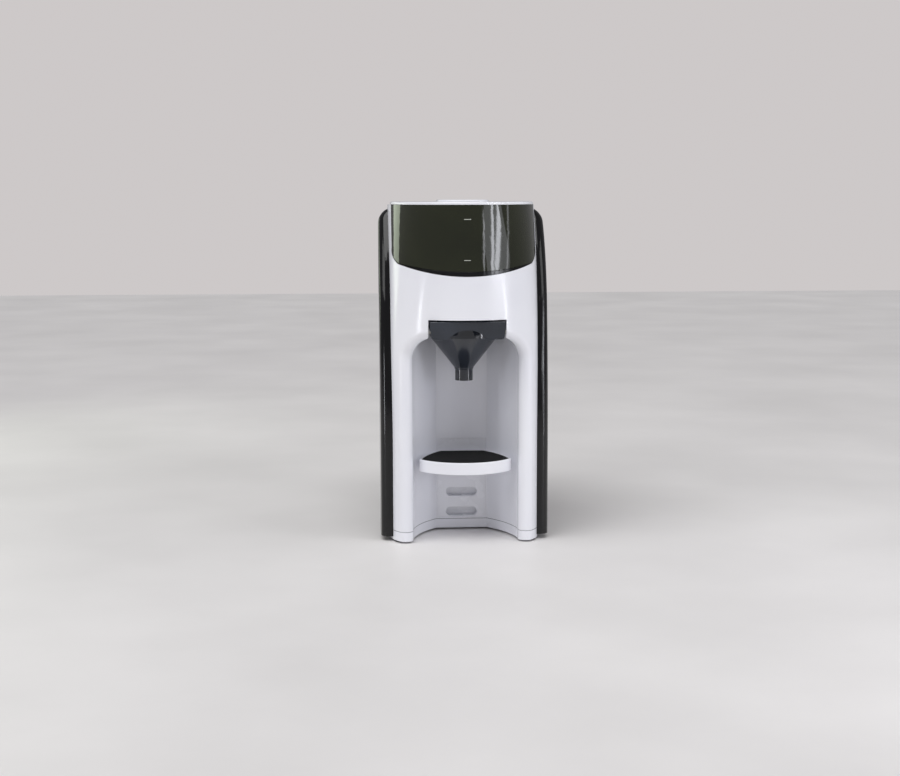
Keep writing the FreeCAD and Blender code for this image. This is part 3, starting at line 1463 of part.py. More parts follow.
def tray_outline(inset):
    """D-shaped plan: bowed front, sides that follow the bay's walls, flat rear."""
    half = f"(Dims.tray_half_width - ({inset}))"
    back_half = f"(Dims.tray_back_half - ({inset}))"
    ends = depth("Dims.tray_ends")
    back = depth(f"Dims.tray_back - ({inset})")
    bow = f"((Dims.tray_ends - Dims.tray_front) * {half} / Dims.tray_half_width)"
    return [
        (half, ends, bow),
        (back_half, back, "Dims.tray_side_bow"),
        (f"-{back_half}", back),
        (f"-{half}", ends, "Dims.tray_side_bow"),
    ]


def make_tray():
    """Bottle tray with skirt, ribs and rear tongue, and its dark mat."""
    body = prism(
        "bottle_tray", "XY_Plane", [tray_outline("0")], "Dims.tray_bottom", "Dims.tray_top - Dims.tray_bottom"
    )
    body_fillet(body, "1", lies_at_height("Dims.tray_top"))
    mat_seat_z = "Dims.tray_top - Dims.mat_seat"
    cut_prism(body, "XY_Plane", [tray_outline("2")], mat_seat_z, "5")
    skirt_space = "Dims.tray_top - Dims.mat_seat - 2.4 - Dims.tray_bottom"
    cut_prism(
        body, "XY_Plane", [tray_outline("Dims.tray_wall")], "Dims.tray_bottom - 1", f"{skirt_space} + 1"
    )
    ribs = [rectangle(x, f"{x} + 2", depth("18"), depth("Dims.tray_back - 1.2")) for x in ("-16", "14")]
    add_prism(body, "XY_Plane", ribs, "Dims.tray_bottom + 2", "7")
    tongue = pill(
        "0",
        "Dims.slot_high_z",
        "Dims.slot_width - 2 * Dims.tongue_play",
        "Dims.slot_height - 2 * Dims.tongue_play",
    )
    add_prism(body, "XZ_Plane", [tongue], depth("Dims.tray_back - 1"), "Dims.slot_recess + 1")
    keep("bottle_tray", body)

    mat = prism("tray_mat", "XY_Plane", [tray_outline("2.3")], mat_seat_z, "Dims.mat_thickness")
    body_fillet(mat, "0.6", lies_at_height(f"{mat_seat_z} + Dims.mat_thickness"))
    keep("tray_mat", mat)


# --- Water tank, valve and dock ----------------------------------------------------------------

def on_valve_axis(radius):
    """One circle about the tank's valve."""
    return [("0", depth("Dims.valve_depth"), radius)]


def make_tank():
    """Lift-off water tank with a seat for its valve in the floor."""
    outer = oval_body("tank_outer", "Dims.tank_front", "0", "Dims.tank_bottom", "Dims.tank_rim")
    inner = oval_body(
        "tank_inner",
        "Dims.tank_front + Dims.tank_wall",
        "Dims.tank_wall",
        "Dims.tank_bottom + Dims.tank_wall",
        "Dims.tank_rim + 5",
    )
    shell = combine("Cut", "tank_shell", outer, inner)
    boss = prism(
        "tank_boss", "XY_Plane", [], "Dims.tank_bottom - 4", "12", circles=on_valve_axis("Dims.valve_boss")
    )
    bossed = combine("Fuse", "tank_bossed", shell, boss)
    wide = on_valve_axis("Dims.valve_bore")
    narrow = on_valve_axis("Dims.stem_radius + 1.1")
    bore = prism("tank_bore", "XY_Plane", [], "Dims.tank_bottom", "22", circles=wide)
    add_prism(bore, "XY_Plane", [], "Dims.tank_bottom - 8", "9", circles=narrow)
    keep("water_tank", combine("Cut", "water_tank", bossed, bore))


def make_tank_lid():
    """Lid of the tank: round-edged shell, skirt and a shallow finger recess."""
    outer = oval_body(
        "tank_lid_outer",
        "Dims.tank_front",
        "0",
        "Dims.tank_rim + 0.2",
        "Dims.body_top",
        "Dims.shoulder_radius",
    )
    inner = oval_body(
        "tank_lid_inner",
        "Dims.tank_front + 2.5",
        "2.5",
        "Dims.tank_rim + 3",
        "Dims.body_top - 3",
        "Dims.shoulder_radius - 4.5",
    )
    shell = combine("Cut", "tank_lid_shell", outer, inner)
    skirt_outer = oval_body(
        "tank_skirt_outer", "Dims.tank_front + 3", "3", "Dims.tank_rim - 5", "Dims.tank_rim + 2"
    )
    skirted = combine("Fuse", "tank_lid_skirted", shell, skirt_outer)
    skirt_inner = oval_body(
        "tank_skirt_inner", "Dims.tank_front + 5", "5", "Dims.tank_rim - 8", "Dims.tank_rim + 8"
    )
    open_lid = combine("Cut", "tank_lid_open", skirted, skirt_inner)
    recess = rounded("-24", "24", depth("224"), depth("246"), "9")
    grip = prism("tank_grip", "XY_Plane", [recess], "Dims.body_top - 1.4", "10")
    keep("tank_lid", combine("Cut", "tank_lid", open_lid, grip))


def make_valve():
    """Valve stem with its disc, and the coil spring that closes it."""
    stem = prism(
        "valve_stem", "XY_Plane", [], "Dims.tank_bottom - 3", "17", circles=on_valve_axis("Dims.stem_radius")
    )
    disc = on_valve_axis("Dims.stem_disc")
    add_prism(stem, "XY_Plane", [], "Dims.tank_bottom + 8.3", "2.5", circles=disc)
    keep("valve_stem", stem)

    pitch = 2.2
    height = 7.4
    coil_radius = 4.2
    wire_radius = 0.45
    helix = Part.makeHelix(pitch, height, coil_radius)
    start = Vector(coil_radius, 0, 0)
    section = Part.Wire(Part.makeCircle(wire_radius, start, Vector(0, 1, 0)))
    spring = doc.addObject("Part::Feature", "valve_spring")
    spring.Shape = Part.Wire(helix).makePipeShell([section], True, True)
    foot_z = size("Dims.tank_bottom") + wire_radius + 0.02
    spring.Placement = Placement(Vector(0, size(depth("Dims.valve_depth")), foot_z), Rotation())
    keep("valve_spring", spring)


def make_dock():
    """Socket that the tank's valve drops into, with its seal and opening pin."""
    pin_radius = "1.6"
    body = prism(
        "tank_dock", "XY_Plane", [], "Dims.shelf_z - 12", "16", circles=on_valve_axis("Dims.dock_radius")
    )
    mouth = on_valve_axis("Dims.dock_bore")
    cut_prism(body, "XY_Plane", [], "Dims.shelf_z + 5", "9", circles=mouth, towards=-1)
    cut_prism(body, "XY_Plane", [], "Dims.shelf_z", "8", circles=on_valve_axis("5.5"), towards=-1)
    add_prism(body, "XY_Plane", [], "Dims.shelf_z - 10", "10.3", circles=on_valve_axis(pin_radius))
    add_prism(body, "XY_Plane", [], "Dims.shelf_z - 20", "9", circles=on_valve_axis("Dims.hose_radius"))
    keep("tank_dock", body)

    seal_section = 0.95
    seal = doc.addObject("Part::Torus", "dock_seal")
    seal.Radius1 = size("Dims.dock_bore") - seal_section - 0.15
    seal.Radius2 = seal_section
    seal.Placement = Placement(
        Vector(0, size(depth("Dims.valve_depth")), size("Dims.shelf_z - 2.9")), Rotation()
    )
    keep("dock_seal", seal)


# --- Water works -------------------------------------------------------------------------------

def hose(name, points, bend):
    """A hose of straight runs joined by tangent arcs; points are (x, depth, z)."""
    radius = size("Dims.hose_radius")
    corners = [Vector(x, size(depth(d)), z) for x, d, z in points]
    edges = []
    start = corners[0]
    for before, corner, after in zip(corners, corners[1:], corners[2:]):
        inward = (before - corner).normalize()
        outward = (after - corner).normalize()
        half_angle = inward.getAngle(outward) / 2
        setback = bend / math.tan(half_angle)
        bisector = (inward + outward).normalize()
        arc_start = corner + inward * setback
        arc_end = corner + outward * setback
        centre = corner + bisector * (bend / math.sin(half_angle))
        edges.append(Part.LineSegment(start, arc_start).toShape())
        edges.append(Part.Arc(arc_start, centre - bisector * bend, arc_end).toShape())
        start = arc_end
    edges.append(Part.LineSegment(start, corners[-1]).toShape())
    path = Part.Wire(edges)
    direction = (corners[1] - corners[0]).normalize()
    section = Part.Wire(Part.makeCircle(radius, corners[0], direction))
    piece = doc.addObject("Part::Feature", name)
    piece.Shape = path.makePipeShell([section], True, False)
    expected = math.pi * radius ** 2 * path.Length
    if abs(piece.Shape.Volume - expected) > 0.03 * expected:
        raise RuntimeError(f"{name}: the sweep's volume is off")
    keep(name, piece)


def make_water_works():
    """Pump in the base, heater on the chassis, nozzle over the funnel, hoses between them."""
    barb = "2.6"
    pump_y = depth("Dims.pump_depth")
    floor = "Dims.base_bottom + Dims.skin"
    pump_centre = ("Dims.pump_x", pump_y)
    pump = prism(
        "water_pump", "XY_Plane", [], floor, "34", circles=[(*pump_centre, "Dims.pump_radius")]
    )
    head = rounded(
        "Dims.pump_x - 20", "Dims.pump_x + 20", f"{pump_y} - 18", f"{pump_y} + 18", "6"
    )
    add_prism(pump, "XY_Plane", [head], f"{floor} + 34", "10")
    barbs = [(f"Dims.pump_x {side} 10", pump_y, barb) for side in ("-", "+")]
    add_prism(pump, "XY_Plane", [], f"{floor} + 44", "6", circles=barbs)
    keep("water_pump", pump)

    heater_centre = ("Dims.heater_x", depth("Dims.heater_depth"))
    heater = prism(
        "water_heater",
        "XY_Plane",
        [],
        "Dims.heater_low",
        "Dims.heater_high - Dims.heater_low",
        circles=[(*heater_centre, "Dims.heater_radius")],
    )
    at_low_end = lies_at_height("Dims.heater_low")
    at_high_end = lies_at_height("Dims.heater_high")
    body_fillet(heater, "4", lambda e: at_low_end(e) or at_high_end(e))
    saddle = rectangle(
        "Dims.heater_x - 20", "Dims.heater_x + 20", "Dims.heater_low + 10", "Dims.heater_high - 10"
    )
    add_prism(heater, "XZ_Plane", [saddle], depth("Dims.frame_depth + Dims.skin"), "12")
    barb_circle = [(*heater_centre, barb)]
    add_prism(heater, "XY_Plane", [], "Dims.heater_low - 10", "12", circles=barb_circle)
    add_prism(heater, "XY_Plane", [], "Dims.heater_high - 2", "10", circles=barb_circle)
    keep("water_heater", heater)

    nozzle_centre = ("Dims.nozzle_x", depth("Dims.nozzle_depth"))
    nozzle = prism(
        "water_nozzle", "XY_Plane", [], "Dims.slot_top - 0.5", "21.5", circles=[(*nozzle_centre, "4")]
    )
    bore = [(*nozzle_centre, "2.4")]
    cut_prism(nozzle, "XY_Plane", [], "Dims.deck_bottom - 6", "30", circles=bore, towards=-1)
    inlet = [("Dims.nozzle_x", "Dims.deck_bottom - 4.5", "3")]
    add_prism(nozzle, "XZ_Plane", [], depth("Dims.nozzle_depth"), "12", circles=inlet)
    keep("water_nozzle", nozzle)

    dock_spout = size("Dims.shelf_z - 20")
    barb_top = size(f"{floor} + 50")
    hose("inlet_hose", [(0, 258, dock_spout), (0, 258, 66), (24, 246, 66), (24, 246, barb_top)], 5)
    to_heater = [
        (44, 246, barb_top),
        (44, 246, 80),
        (20, 222, 80),
        (20, 196, 74),
        (-38, 174, 100),
        (-38, 174, 140),
    ]
    hose("feed_hose", to_heater, 9)
    to_nozzle = [
        (-38, 174, 238),
        (-38, 174, 256),
        (24, 162, 256),
        (24, 138, 246),
        (24, 114, 246),
        (15, 98, 251.5),
        (15, 82, 251.5),
    ]
    hose("outlet_hose", to_nozzle, 8)


# --- Electrics and controls --------------------------------------------------------------------

def board(name, plane, outline, start, parts, pillar_start, pillars):
    """A circuit board with tall components on its face and pillars behind it."""
    body = prism(name, plane, [outline], start, "Dims.board_thickness")
    for component, height in parts:
        add_prism(body, plane, [component], f"{start} + Dims.board_thickness - 0.1", f"{height} + 0.1")
    feet = [(*place, "Dims.pillar_radius") for place in pillars]
    add_prism(body, plane, [], pillar_start, f"Dims.pillar_height + {TOUCH}", circles=feet)
    keep(name, body)


def make_boards():
    """Main board and power board on the back of the chassis frame."""
    frame_back = depth("Dims.frame_depth + Dims.skin")
    face = f"({frame_back} + Dims.pillar_height)"
    main_parts = [
        (rectangle("10", "34", "168", "192"), 4),
        (rectangle("42", "60", "196", "212"), 9),
        (rectangle("10", "56", "222", "230"), 8),
    ]
    corners = [(x, z) for x in ("6", "62") for z in ("154", "232")]
    board(
        "main_board", "XZ_Plane", rectangle("2", "66", "150", "236"), face, main_parts, frame_back, corners
    )
    power_parts = [
        (rectangle("-66", "-42", "30", "54"), 16),
        (rectangle("-30", "-14", "34", "58"), 14),
        (rectangle("-60", "-20", "76", "90"), 10),
    ]
    corners = [(x, z) for x in ("-68", "-10") for z in ("28", "92")]
    board(
        "power_board", "XZ_Plane", rectangle("-72", "-6", "24", "96"), face, power_parts, frame_back, corners
    )


def inlet_outline(gap):
    """Rear view of the power inlet, shrunk by `gap`."""
    half = f"(Dims.inlet_half_width - {gap})"
    half_height = f"(Dims.inlet_half_height - {gap})"
    low = f"Dims.inlet_z - {half_height}"
    high = f"Dims.inlet_z + {half_height}"
    return rounded(f"-{half}", half, low, high, f"Dims.inlet_corner - {gap}")


def make_inlet():
    """Two-pin appliance inlet with its recess open to the rear."""
    rear = "Dims.overall_depth"
    body = prism("power_inlet", "XZ_Plane", [inlet_outline("0.1")], depth(f"{rear} - 18"), "17.5")
    recess = pill("0", "Dims.inlet_z", "17", "9.5")
    cut_prism(body, "XZ_Plane", [recess], depth(rear), "13", towards=-1)
    pins = [(x, "Dims.inlet_z", "1.15") for x in ("-4.3", "4.3")]
    add_prism(body, "XZ_Plane", [], depth(f"{rear} - 14"), "9", circles=pins)
    keep("power_inlet", body)


def control_outline(gap):
    """Side view of the control panel, shrunk by `gap`."""
    return rounded(
        depth(f"Dims.control_front + {gap}"),
        depth(f"Dims.control_back - {gap}"),
        f"Dims.control_low + {gap}",
        f"Dims.control_high - {gap}",
        f"Dims.control_corner - {gap}",
    )


def display_outline(gap):
    """Side view of the display window, shrunk by `gap`."""
    return rounded(
        depth(f"Dims.display_front + {gap}"),
        depth(f"Dims.display_back - {gap}"),
        f"Dims.display_low + {gap}",
        f"Dims.display_high - {gap}",
        f"3 - {gap}",
    )


def curved_plate(name, outline, inset, thickness):
    """A plate that follows the right side panel, `inset` below its surface."""
    front = "Dims.control_front - 10"
    levels = ("Dims.control_low - 5", "Dims.control_high + 5")
    outer = oval_body(name + "_outer", front, inset, *levels)
    inner = oval_body(name + "_inner", f"{front} - 5", f"{inset} + {thickness}", *levels)
    skin = combine("Cut", name + "_skin", outer, inner)
    zone = prism(name + "_zone", "YZ_Plane", [outline], "60", "60")
    return combine("Common", name, skin, zone)


BUTTONS = (
    ("power_button", "139", "258"),
    ("temperature_button", "139", "192"),
    ("volume_button", "161", "192"),
    ("strength_button", "139", "171"),
    ("start_button", "161", "171"),
)


def make_controls():
    """Control panel on the right side: bezel, display window, board and five push buttons."""
    plate = curved_plate(
        "bezel_plate", control_outline("0.1"), "Dims.control_sink", "Dims.control_thickness"
    )
    holes = [(depth(d), z, "Dims.button_radius + Dims.fit_gap") for _, d, z in BUTTONS]
    void = prism("bezel_void", "YZ_Plane", [display_outline("0")], "60", "60", circles=holes)
    keep("control_bezel", combine("Cut", "control_bezel", plate, void))
    window = curved_plate(
        "display_window", display_outline(TOUCH), "(Dims.control_sink + 0.3)", "Dims.control_thickness - 0.6"
    )
    keep("display_window", window)

    board_x = "Dims.display_board_x"
    board(
        "display_board",
        "YZ_Plane",
        rectangle(depth("130"), depth("170"), "154", "264"),
        board_x,
        [(rectangle(depth("135"), depth("165"), "208", "244"), 4)],
        f"{board_x} + 1.5",
        [(depth(d), z) for d in ("132.5", "167.5") for z in ("157", "250")],
    )
    for name, button_depth, height in BUTTONS:
        make_button(name, button_depth, height)


def make_button(name, button_depth, height):
    """A round push button: cap, retaining flange and stem."""
    surface = side_x(size(button_depth)) - size("Dims.control_sink")
    face = surface + size("Dims.button_proud")
    inner = surface - size("Dims.control_thickness")
    flange_low = inner - 2.6
    flange_thickness = 1.4
    stem_radius = "1.8"
    centre = (depth(button_depth), height)
    body = prism(
        name,
        "YZ_Plane",
        [],
        str(flange_low + 0.1),
        str(face - flange_low - 0.1),
        circles=[(*centre, "Dims.button_radius")],
    )
    body_fillet(body, "0.5", lambda e: abs(e.BoundBox.XMin - face) < 0.01)
    flange = [(*centre, "Dims.button_flange")]
    add_prism(body, "YZ_Plane", [], str(flange_low), str(flange_thickness), circles=flange)
    stem = [(*centre, stem_radius)]
    add_prism(body, "YZ_Plane", [], str(inner - 5), "3", circles=stem)
    keep(name, body)


# --- Build, check and write --------------------------------------------------------------------

def check_and_export():
    """Stop on any failed object, then write each sub-part to its own STEP file."""
    doc.recompute()
    for item in doc.Objects:
        if "Invalid" in item.State or "Error" in item.State:
            raise RuntimeError(f"{item.Label} failed: {item.State}")
    os.makedirs("parts", exist_ok=True)
    for name, piece in nodes.items():
        shape = piece.Shape
        if shape.isNull() or not shape.isValid() or not shape.Solids:
            raise RuntimeError(f"{name} has no valid solid")
        shape.exportStep(f"parts/{name}.step")
        print(f"{name}: {len(shape.Solids)} solid, {shape.Volume / 1000:.2f} cm3")


def main():
    """Build every sub-part in order of assembly."""
    cap, cap_inner = make_front_housing()
    make_hopper(cap)
    make_trim_strip(cap, cap_inner)
    base = make_base()
    make_feet_and_screws()
    make_tray_rail()
    make_dark_body(cap, base)
    make_rear(base)
    make_chassis_frame()
    make_lid()
    make_dosing_wheel()
    motor_y = make_drive()
    make_deck(motor_y)
    make_funnel()
    make_guides()
    make_tray()
    make_tank()
    make_tank_lid()
    make_valve()
    make_dock()
    make_water_works()
    make_boards()
    make_inlet()
    make_controls()
    check_and_export()


main()
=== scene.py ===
import math

import bpy
from mathutils import Matrix, Vector
from mathutils.bvhtree import BVHTree


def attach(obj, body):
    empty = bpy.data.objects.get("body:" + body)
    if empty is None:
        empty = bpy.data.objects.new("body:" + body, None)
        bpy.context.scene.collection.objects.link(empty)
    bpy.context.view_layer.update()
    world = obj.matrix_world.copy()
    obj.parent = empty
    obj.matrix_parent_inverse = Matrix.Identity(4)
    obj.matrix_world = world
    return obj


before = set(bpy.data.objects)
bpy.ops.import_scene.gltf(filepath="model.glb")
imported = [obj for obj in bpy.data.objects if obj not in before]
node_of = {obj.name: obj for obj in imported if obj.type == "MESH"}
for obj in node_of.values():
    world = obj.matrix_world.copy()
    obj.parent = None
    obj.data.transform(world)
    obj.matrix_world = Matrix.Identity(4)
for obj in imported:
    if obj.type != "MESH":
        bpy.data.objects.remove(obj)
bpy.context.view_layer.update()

# --- White mouldings ---------------------------------------------------------------------------
# Front housing, base, powder lid and bottle tray: ABS injection-moulded in a cool white against
# polished steel. The housing drops over the base from above and is screwed to it from below.

MM = 0.001


def linear_colour(code):
    """An sRGB hex colour as linear RGBA."""
    channels = [int(code[place : place + 2], 16) / 255 for place in (1, 3, 5)]
    linear = [c / 12.92 if c <= 0.04045 else ((c + 0.055) / 1.055) ** 2.4 for c in channels]
    return (*linear, 1.0)


def add_node(tree, kind, settings=None, *in_order, **by_name):
    """Add a node with its settings, its sockets given in order or by name.

    A socket takes a value, a hex colour, another node's output, or a node, whose first output joins.
    """
    node = tree.nodes.new(kind)
    for name, value in (settings or {}).items():
        setattr(node, name, value)
    wanted = list(zip(node.inputs, in_order))
    wanted += [(node.inputs[name.replace("_", " ")], value) for name, value in by_name.items()]
    for socket, value in wanted:
        if isinstance(value, bpy.types.Node):
            value = value.outputs[0]
        if isinstance(value, bpy.types.NodeSocket):
            tree.links.new(value, socket)
        else:
            socket.default_value = linear_colour(value) if isinstance(value, str) else value
    return node


def start_material(name):
    """An empty node material: the material, its tree and the object's own coordinates."""
    material = bpy.data.materials.new(name)
    material.use_nodes = True
    tree = material.node_tree
    tree.nodes.clear()
    return material, tree, add_node(tree, "ShaderNodeTexCoord").outputs["Object"]


def per(size_mm):
    """The pattern scale that makes a feature measure size_mm."""
    return 1 / (size_mm * MM)


def dress(material, *names):
    """Give carried-over CAD nodes their finish."""
    for name in names:
        mesh = node_of[name].data
        mesh.materials.clear()
        mesh.materials.append(material)


# A noise keeps to its middle values, so a colour that follows it is stretched from this range.
NOISE_RANGE = {"From_Min": 0.3, "From_Max": 0.7}

# The joint between housing and base gets a painted shadow: a thin grey line at this height, standing in
# for the shade in the gap.
SEAM_HEIGHT = 12.0
SEAM_HALF_WIDTH = 0.3
SEAM_PAINTED_SHADOW = "#83858C"


def moulded_abs(name, light, dark, roughness, ripple_mm, edge_mm=0.4, paint_seam_shadow=False):
    """Moulded ABS: slow flow lines of tone, uneven polish, sink ripple and softly broken edges, with an
    optional painted shadow line at the joint.
    """
    material, tree, place = start_material(name)
    flow = add_node(tree, "ShaderNodeTexNoise", Vector=place, Scale=per(110), Detail=2.0)
    tone = add_node(tree, "ShaderNodeMapRange", Value=flow, **NOISE_RANGE)
    colour = add_node(tree, "ShaderNodeMixRGB", Fac=tone, Color1=dark, Color2=light)
    if paint_seam_shadow:
        # Painted shadow: a thin grey line at the joint's height, standing in for the shade that falls
        # into the gap.
        level = add_node(tree, "ShaderNodeSeparateXYZ", Vector=place).outputs["Z"]
        reach = (SEAM_HEIGHT * MM, SEAM_HALF_WIDTH * MM)
        painted_shadow_line = add_node(tree, "ShaderNodeMath", {"operation": "COMPARE"}, level, *reach)
        colour = add_node(tree, "ShaderNodeMixRGB", Fac=painted_shadow_line, Color1=colour, Color2=SEAM_PAINTED_SHADOW)
    polish = add_node(tree, "ShaderNodeTexNoise", Vector=place, Scale=per(22), Detail=4.0)
    sheen = {"To_Min": roughness * 0.8, "To_Max": roughness * 1.25}
    gloss = add_node(tree, "ShaderNodeMapRange", Value=polish, **sheen)
    sink = add_node(tree, "ShaderNodeTexNoise", Vector=place, Scale=per(14), Detail=1.0)
    broken = add_node(tree, "ShaderNodeBevel", {"samples": 4}, Radius=edge_mm * MM)
    relief = add_node(tree, "ShaderNodeBump", Height=sink, Distance=ripple_mm * MM, Normal=broken)
    skin = {"Base_Color": colour, "Roughness": gloss, "Normal": relief, "IOR": 1.53}
    shader = add_node(tree, "ShaderNodeBsdfPrincipled", **skin)
    add_node(tree, "ShaderNodeOutputMaterial", Surface=shader)
    return material


# Polished white ABS: clean cool white whose soft highlights waver a little, as on any thin wall.
POLISHED_WHITE = moulded_abs("polished_white_abs", "#F1F2F7", "#E9EAF1", 0.17, 0.02)
dress(POLISHED_WHITE, "hopper_lid", "bottle_tray")

# The same skin on housing and base, with a painted shadow line at the joint between the two: a thin
# grey band that stands in for the shade in the gap.
WHITE_WITH_PAINTED_SEAM_SHADOW = moulded_abs("polished_white_abs_with_painted_seam_shadow", "#F1F2F7", "#E9EAF1", 0.17, 0.02, paint_seam_shadow=True)
dress(WHITE_WITH_PAINTED_SEAM_SHADOW, "front_shell", "base_plate")

# --- Slotted rail ------------------------------------------------------------------------------
# A separate white ABS insert in the bay's back wall, clipped in from behind, with the slots that
# carry the tray. Its tool was only stoned, so it is a shade duller than the housing round it.

# Stoned white ABS: the same white with a softer, wider sheen.
STONED_WHITE = moulded_abs("stoned_white_abs", "#F0F1F6", "#E9EAF0", 0.26, 0.01)
dress(STONED_WHITE, "tray_rail")

# --- Black body --------------------------------------------------------------------------------
# Side panels, deck, rear cover and tank lid: ABS coloured through and moulded against mirror
# steel, clipped to the chassis. Cloth has left hair-fine, mostly upright wipe marks.


def wiped_black(name, colour, hazed, roughness):
    """Piano-black ABS: a mirror with a breath of haze where it was wiped."""
    material, tree, place = start_material(name)
    upright = add_node(tree, "ShaderNodeMapping", Vector=place, Scale=(1.0, 1.0, 0.05))
    wipes = add_node(tree, "ShaderNodeTexNoise", Vector=upright, Scale=per(1.6), Detail=5.0)
    sheen = {"To_Min": roughness * 0.85, "To_Max": roughness * 1.25}
    gloss = add_node(tree, "ShaderNodeMapRange", Value=wipes, **sheen)
    haze = add_node(tree, "ShaderNodeTexNoise", Vector=place, Scale=per(45), Detail=3.0)
    tone = add_node(tree, "ShaderNodeMapRange", Value=haze, **NOISE_RANGE)
    ink = add_node(tree, "ShaderNodeMixRGB", Fac=tone, Color1=colour, Color2=hazed)
    sink = add_node(tree, "ShaderNodeTexNoise", Vector=place, Scale=per(18), Detail=1.0)
    broken = add_node(tree, "ShaderNodeBevel", {"samples": 4}, Radius=0.4 * MM)
    relief = add_node(tree, "ShaderNodeBump", Height=sink, Distance=0.006 * MM, Normal=broken)
    skin = {"Base_Color": ink, "Roughness": gloss, "Normal": relief, "IOR": 1.46}
    shader = add_node(tree, "ShaderNodeBsdfPrincipled", **skin)
    add_node(tree, "ShaderNodeOutputMaterial", Surface=shader)
    return material


# Piano-black ABS: near-black depth under crisp reflections that blur slightly along the wipes.
PIANO_BLACK = wiped_black("piano_black_abs", "#060607", "#0A0A0C", 0.09)
dress(PIANO_BLACK, "left_side_panel", "right_side_panel", "top_deck", "rear_cover", "tank_lid")

# --- Trim strip --------------------------------------------------------------------------------
# The lip under the powder window: a thin black ABS moulding with the same mirror face as the body.
# It is pressed into the housing's upper edge, and the window seats on it.
dress(PIANO_BLACK, "trim_strip")

# --- Powder hopper -----------------------------------------------------------------------------
# The window is smoked copolyester, bonded to a tub of the same resin. Both lift out by the rim, and
# the window is what the user reads the powder's level through.


def tinted_resin(name, thin, deep, roughness, clearness, wave_mm):
    """Tinted clear resin: deep colour, mirror gloss, a slow wave and faint upright draw lines."""
    material, tree, place = start_material(name)
    body = add_node(tree, "ShaderNodeTexNoise", Vector=place, Scale=per(60), Detail=2.0)
    tone = add_node(tree, "ShaderNodeMapRange", Value=body, **NOISE_RANGE)
    tint = add_node(tree, "ShaderNodeMixRGB", Fac=tone, Color1=deep, Color2=thin)
    upright = add_node(tree, "ShaderNodeMapping", Vector=place, Scale=(1.0, 1.0, 0.06))
    drawn = add_node(tree, "ShaderNodeTexNoise", Vector=upright, Scale=per(9), Detail=2.0)
    sheen = {"To_Min": roughness * 0.7, "To_Max": roughness * 1.5}
    gloss = add_node(tree, "ShaderNodeMapRange", Value=drawn, **sheen)
    wave = add_node(tree, "ShaderNodeBump", Height=body, Distance=wave_mm * MM)
    relief = add_node(tree, "ShaderNodeBump", Height=drawn, Distance=0.003 * MM, Normal=wave)
    skin = {"Base_Color": tint, "Roughness": gloss, "Normal": relief, "IOR": 1.57}
    shader = add_node(tree, "ShaderNodeBsdfPrincipled", Transmission_Weight=clearness, **skin)
    add_node(tree, "ShaderNodeOutputMaterial", Surface=shader)
    return material


# Smoked olive copolyester: a dark green-brown mirror that hardly lets the powder show through.
SMOKED_WINDOW = tinted_resin("smoked_olive_copolyester", "#282B19", "#1E2113", 0.05, 0.10, 0.08)
dress(SMOKED_WINDOW, "smoked_window")

# The tub behind it has half the tint, so its inside stays readable when the lid is off.
SMOKED_TUB = tinted_resin("smoked_clear_copolyester", "#6B6E64", "#5C5F56", 0.12, 0.45, 0.10)
dress(SMOKED_TUB, "powder_hopper")


def bar(left, right, low, high, step_mm=2.0):
    """An upright rectangle as quads short enough to lie on a curved wall, in millimetres."""
    count = max(1, math.ceil((right - left) / step_mm))
    edges = [left + (right - left) * index / count for index in range(count + 1)]
    return [[(a, low), (b, low), (b, high), (a, high)] for a, b in zip(edges, edges[1:])]


RING_STEP_DEGREES = 12


def ring(x, y, inner, outer, start=0.0, end=360.0):
    """A ring, or part of one from start to end in degrees, as quads."""
    count = round((end - start) / RING_STEP_DEGREES)
    angles = [math.radians(start + (end - start) * index / count) for index in range(count + 1)]
    return [
        [
            (x + inner * math.cos(a), y + inner * math.sin(a)),
            (x + outer * math.cos(a), y + outer * math.sin(a)),
            (x + outer * math.cos(b), y + outer * math.sin(b)),
            (x + inner * math.cos(b), y + inner * math.sin(b)),
        ]
        for a, b in zip(angles, angles[1:])
    ]


INK_THICKNESS = 0.03 * MM
FROM_FRONT = Vector((0, 1, 0))
FROM_RIGHT = Vector((-1, 0, 0))


def printed(name, carrier, shapes, towards, material, body):
    """Ink pressed onto a CAD node: shapes in mm, seen along `towards`, laid on its near surface."""
    carrier_mesh = node_of[carrier].data
    surface = BVHTree.FromPolygons(
        [corner.co for corner in carrier_mesh.vertices],
        [face.vertices[:] for face in carrier_mesh.polygons],
    )
    corners = []
    faces = []
    for shape in shapes:
        for across, up in shape:
            target = (across, 0.0, up) if towards is FROM_FRONT else (0.0, across, up)
            hit = surface.ray_cast(Vector(target) * MM - towards, towards)[0]
            corners.append(hit - towards * INK_THICKNESS)
        faces.append(tuple(range(len(corners) - len(shape), len(corners))))
    mesh = bpy.data.meshes.new(name)
    mesh.from_pydata(corners, [], faces)
    mesh.materials.append(material)
    piece = bpy.data.objects.new(name, mesh)
    bpy.context.scene.collection.objects.link(piece)
    weld = piece.modifiers.new("joined", "WELD")
    weld.merge_threshold = 0.002 * MM
    film = piece.modifiers.new("film", "SOLIDIFY")
    film.thickness = INK_THICKNESS
    film.offset = 0.0
    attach(piece, body)


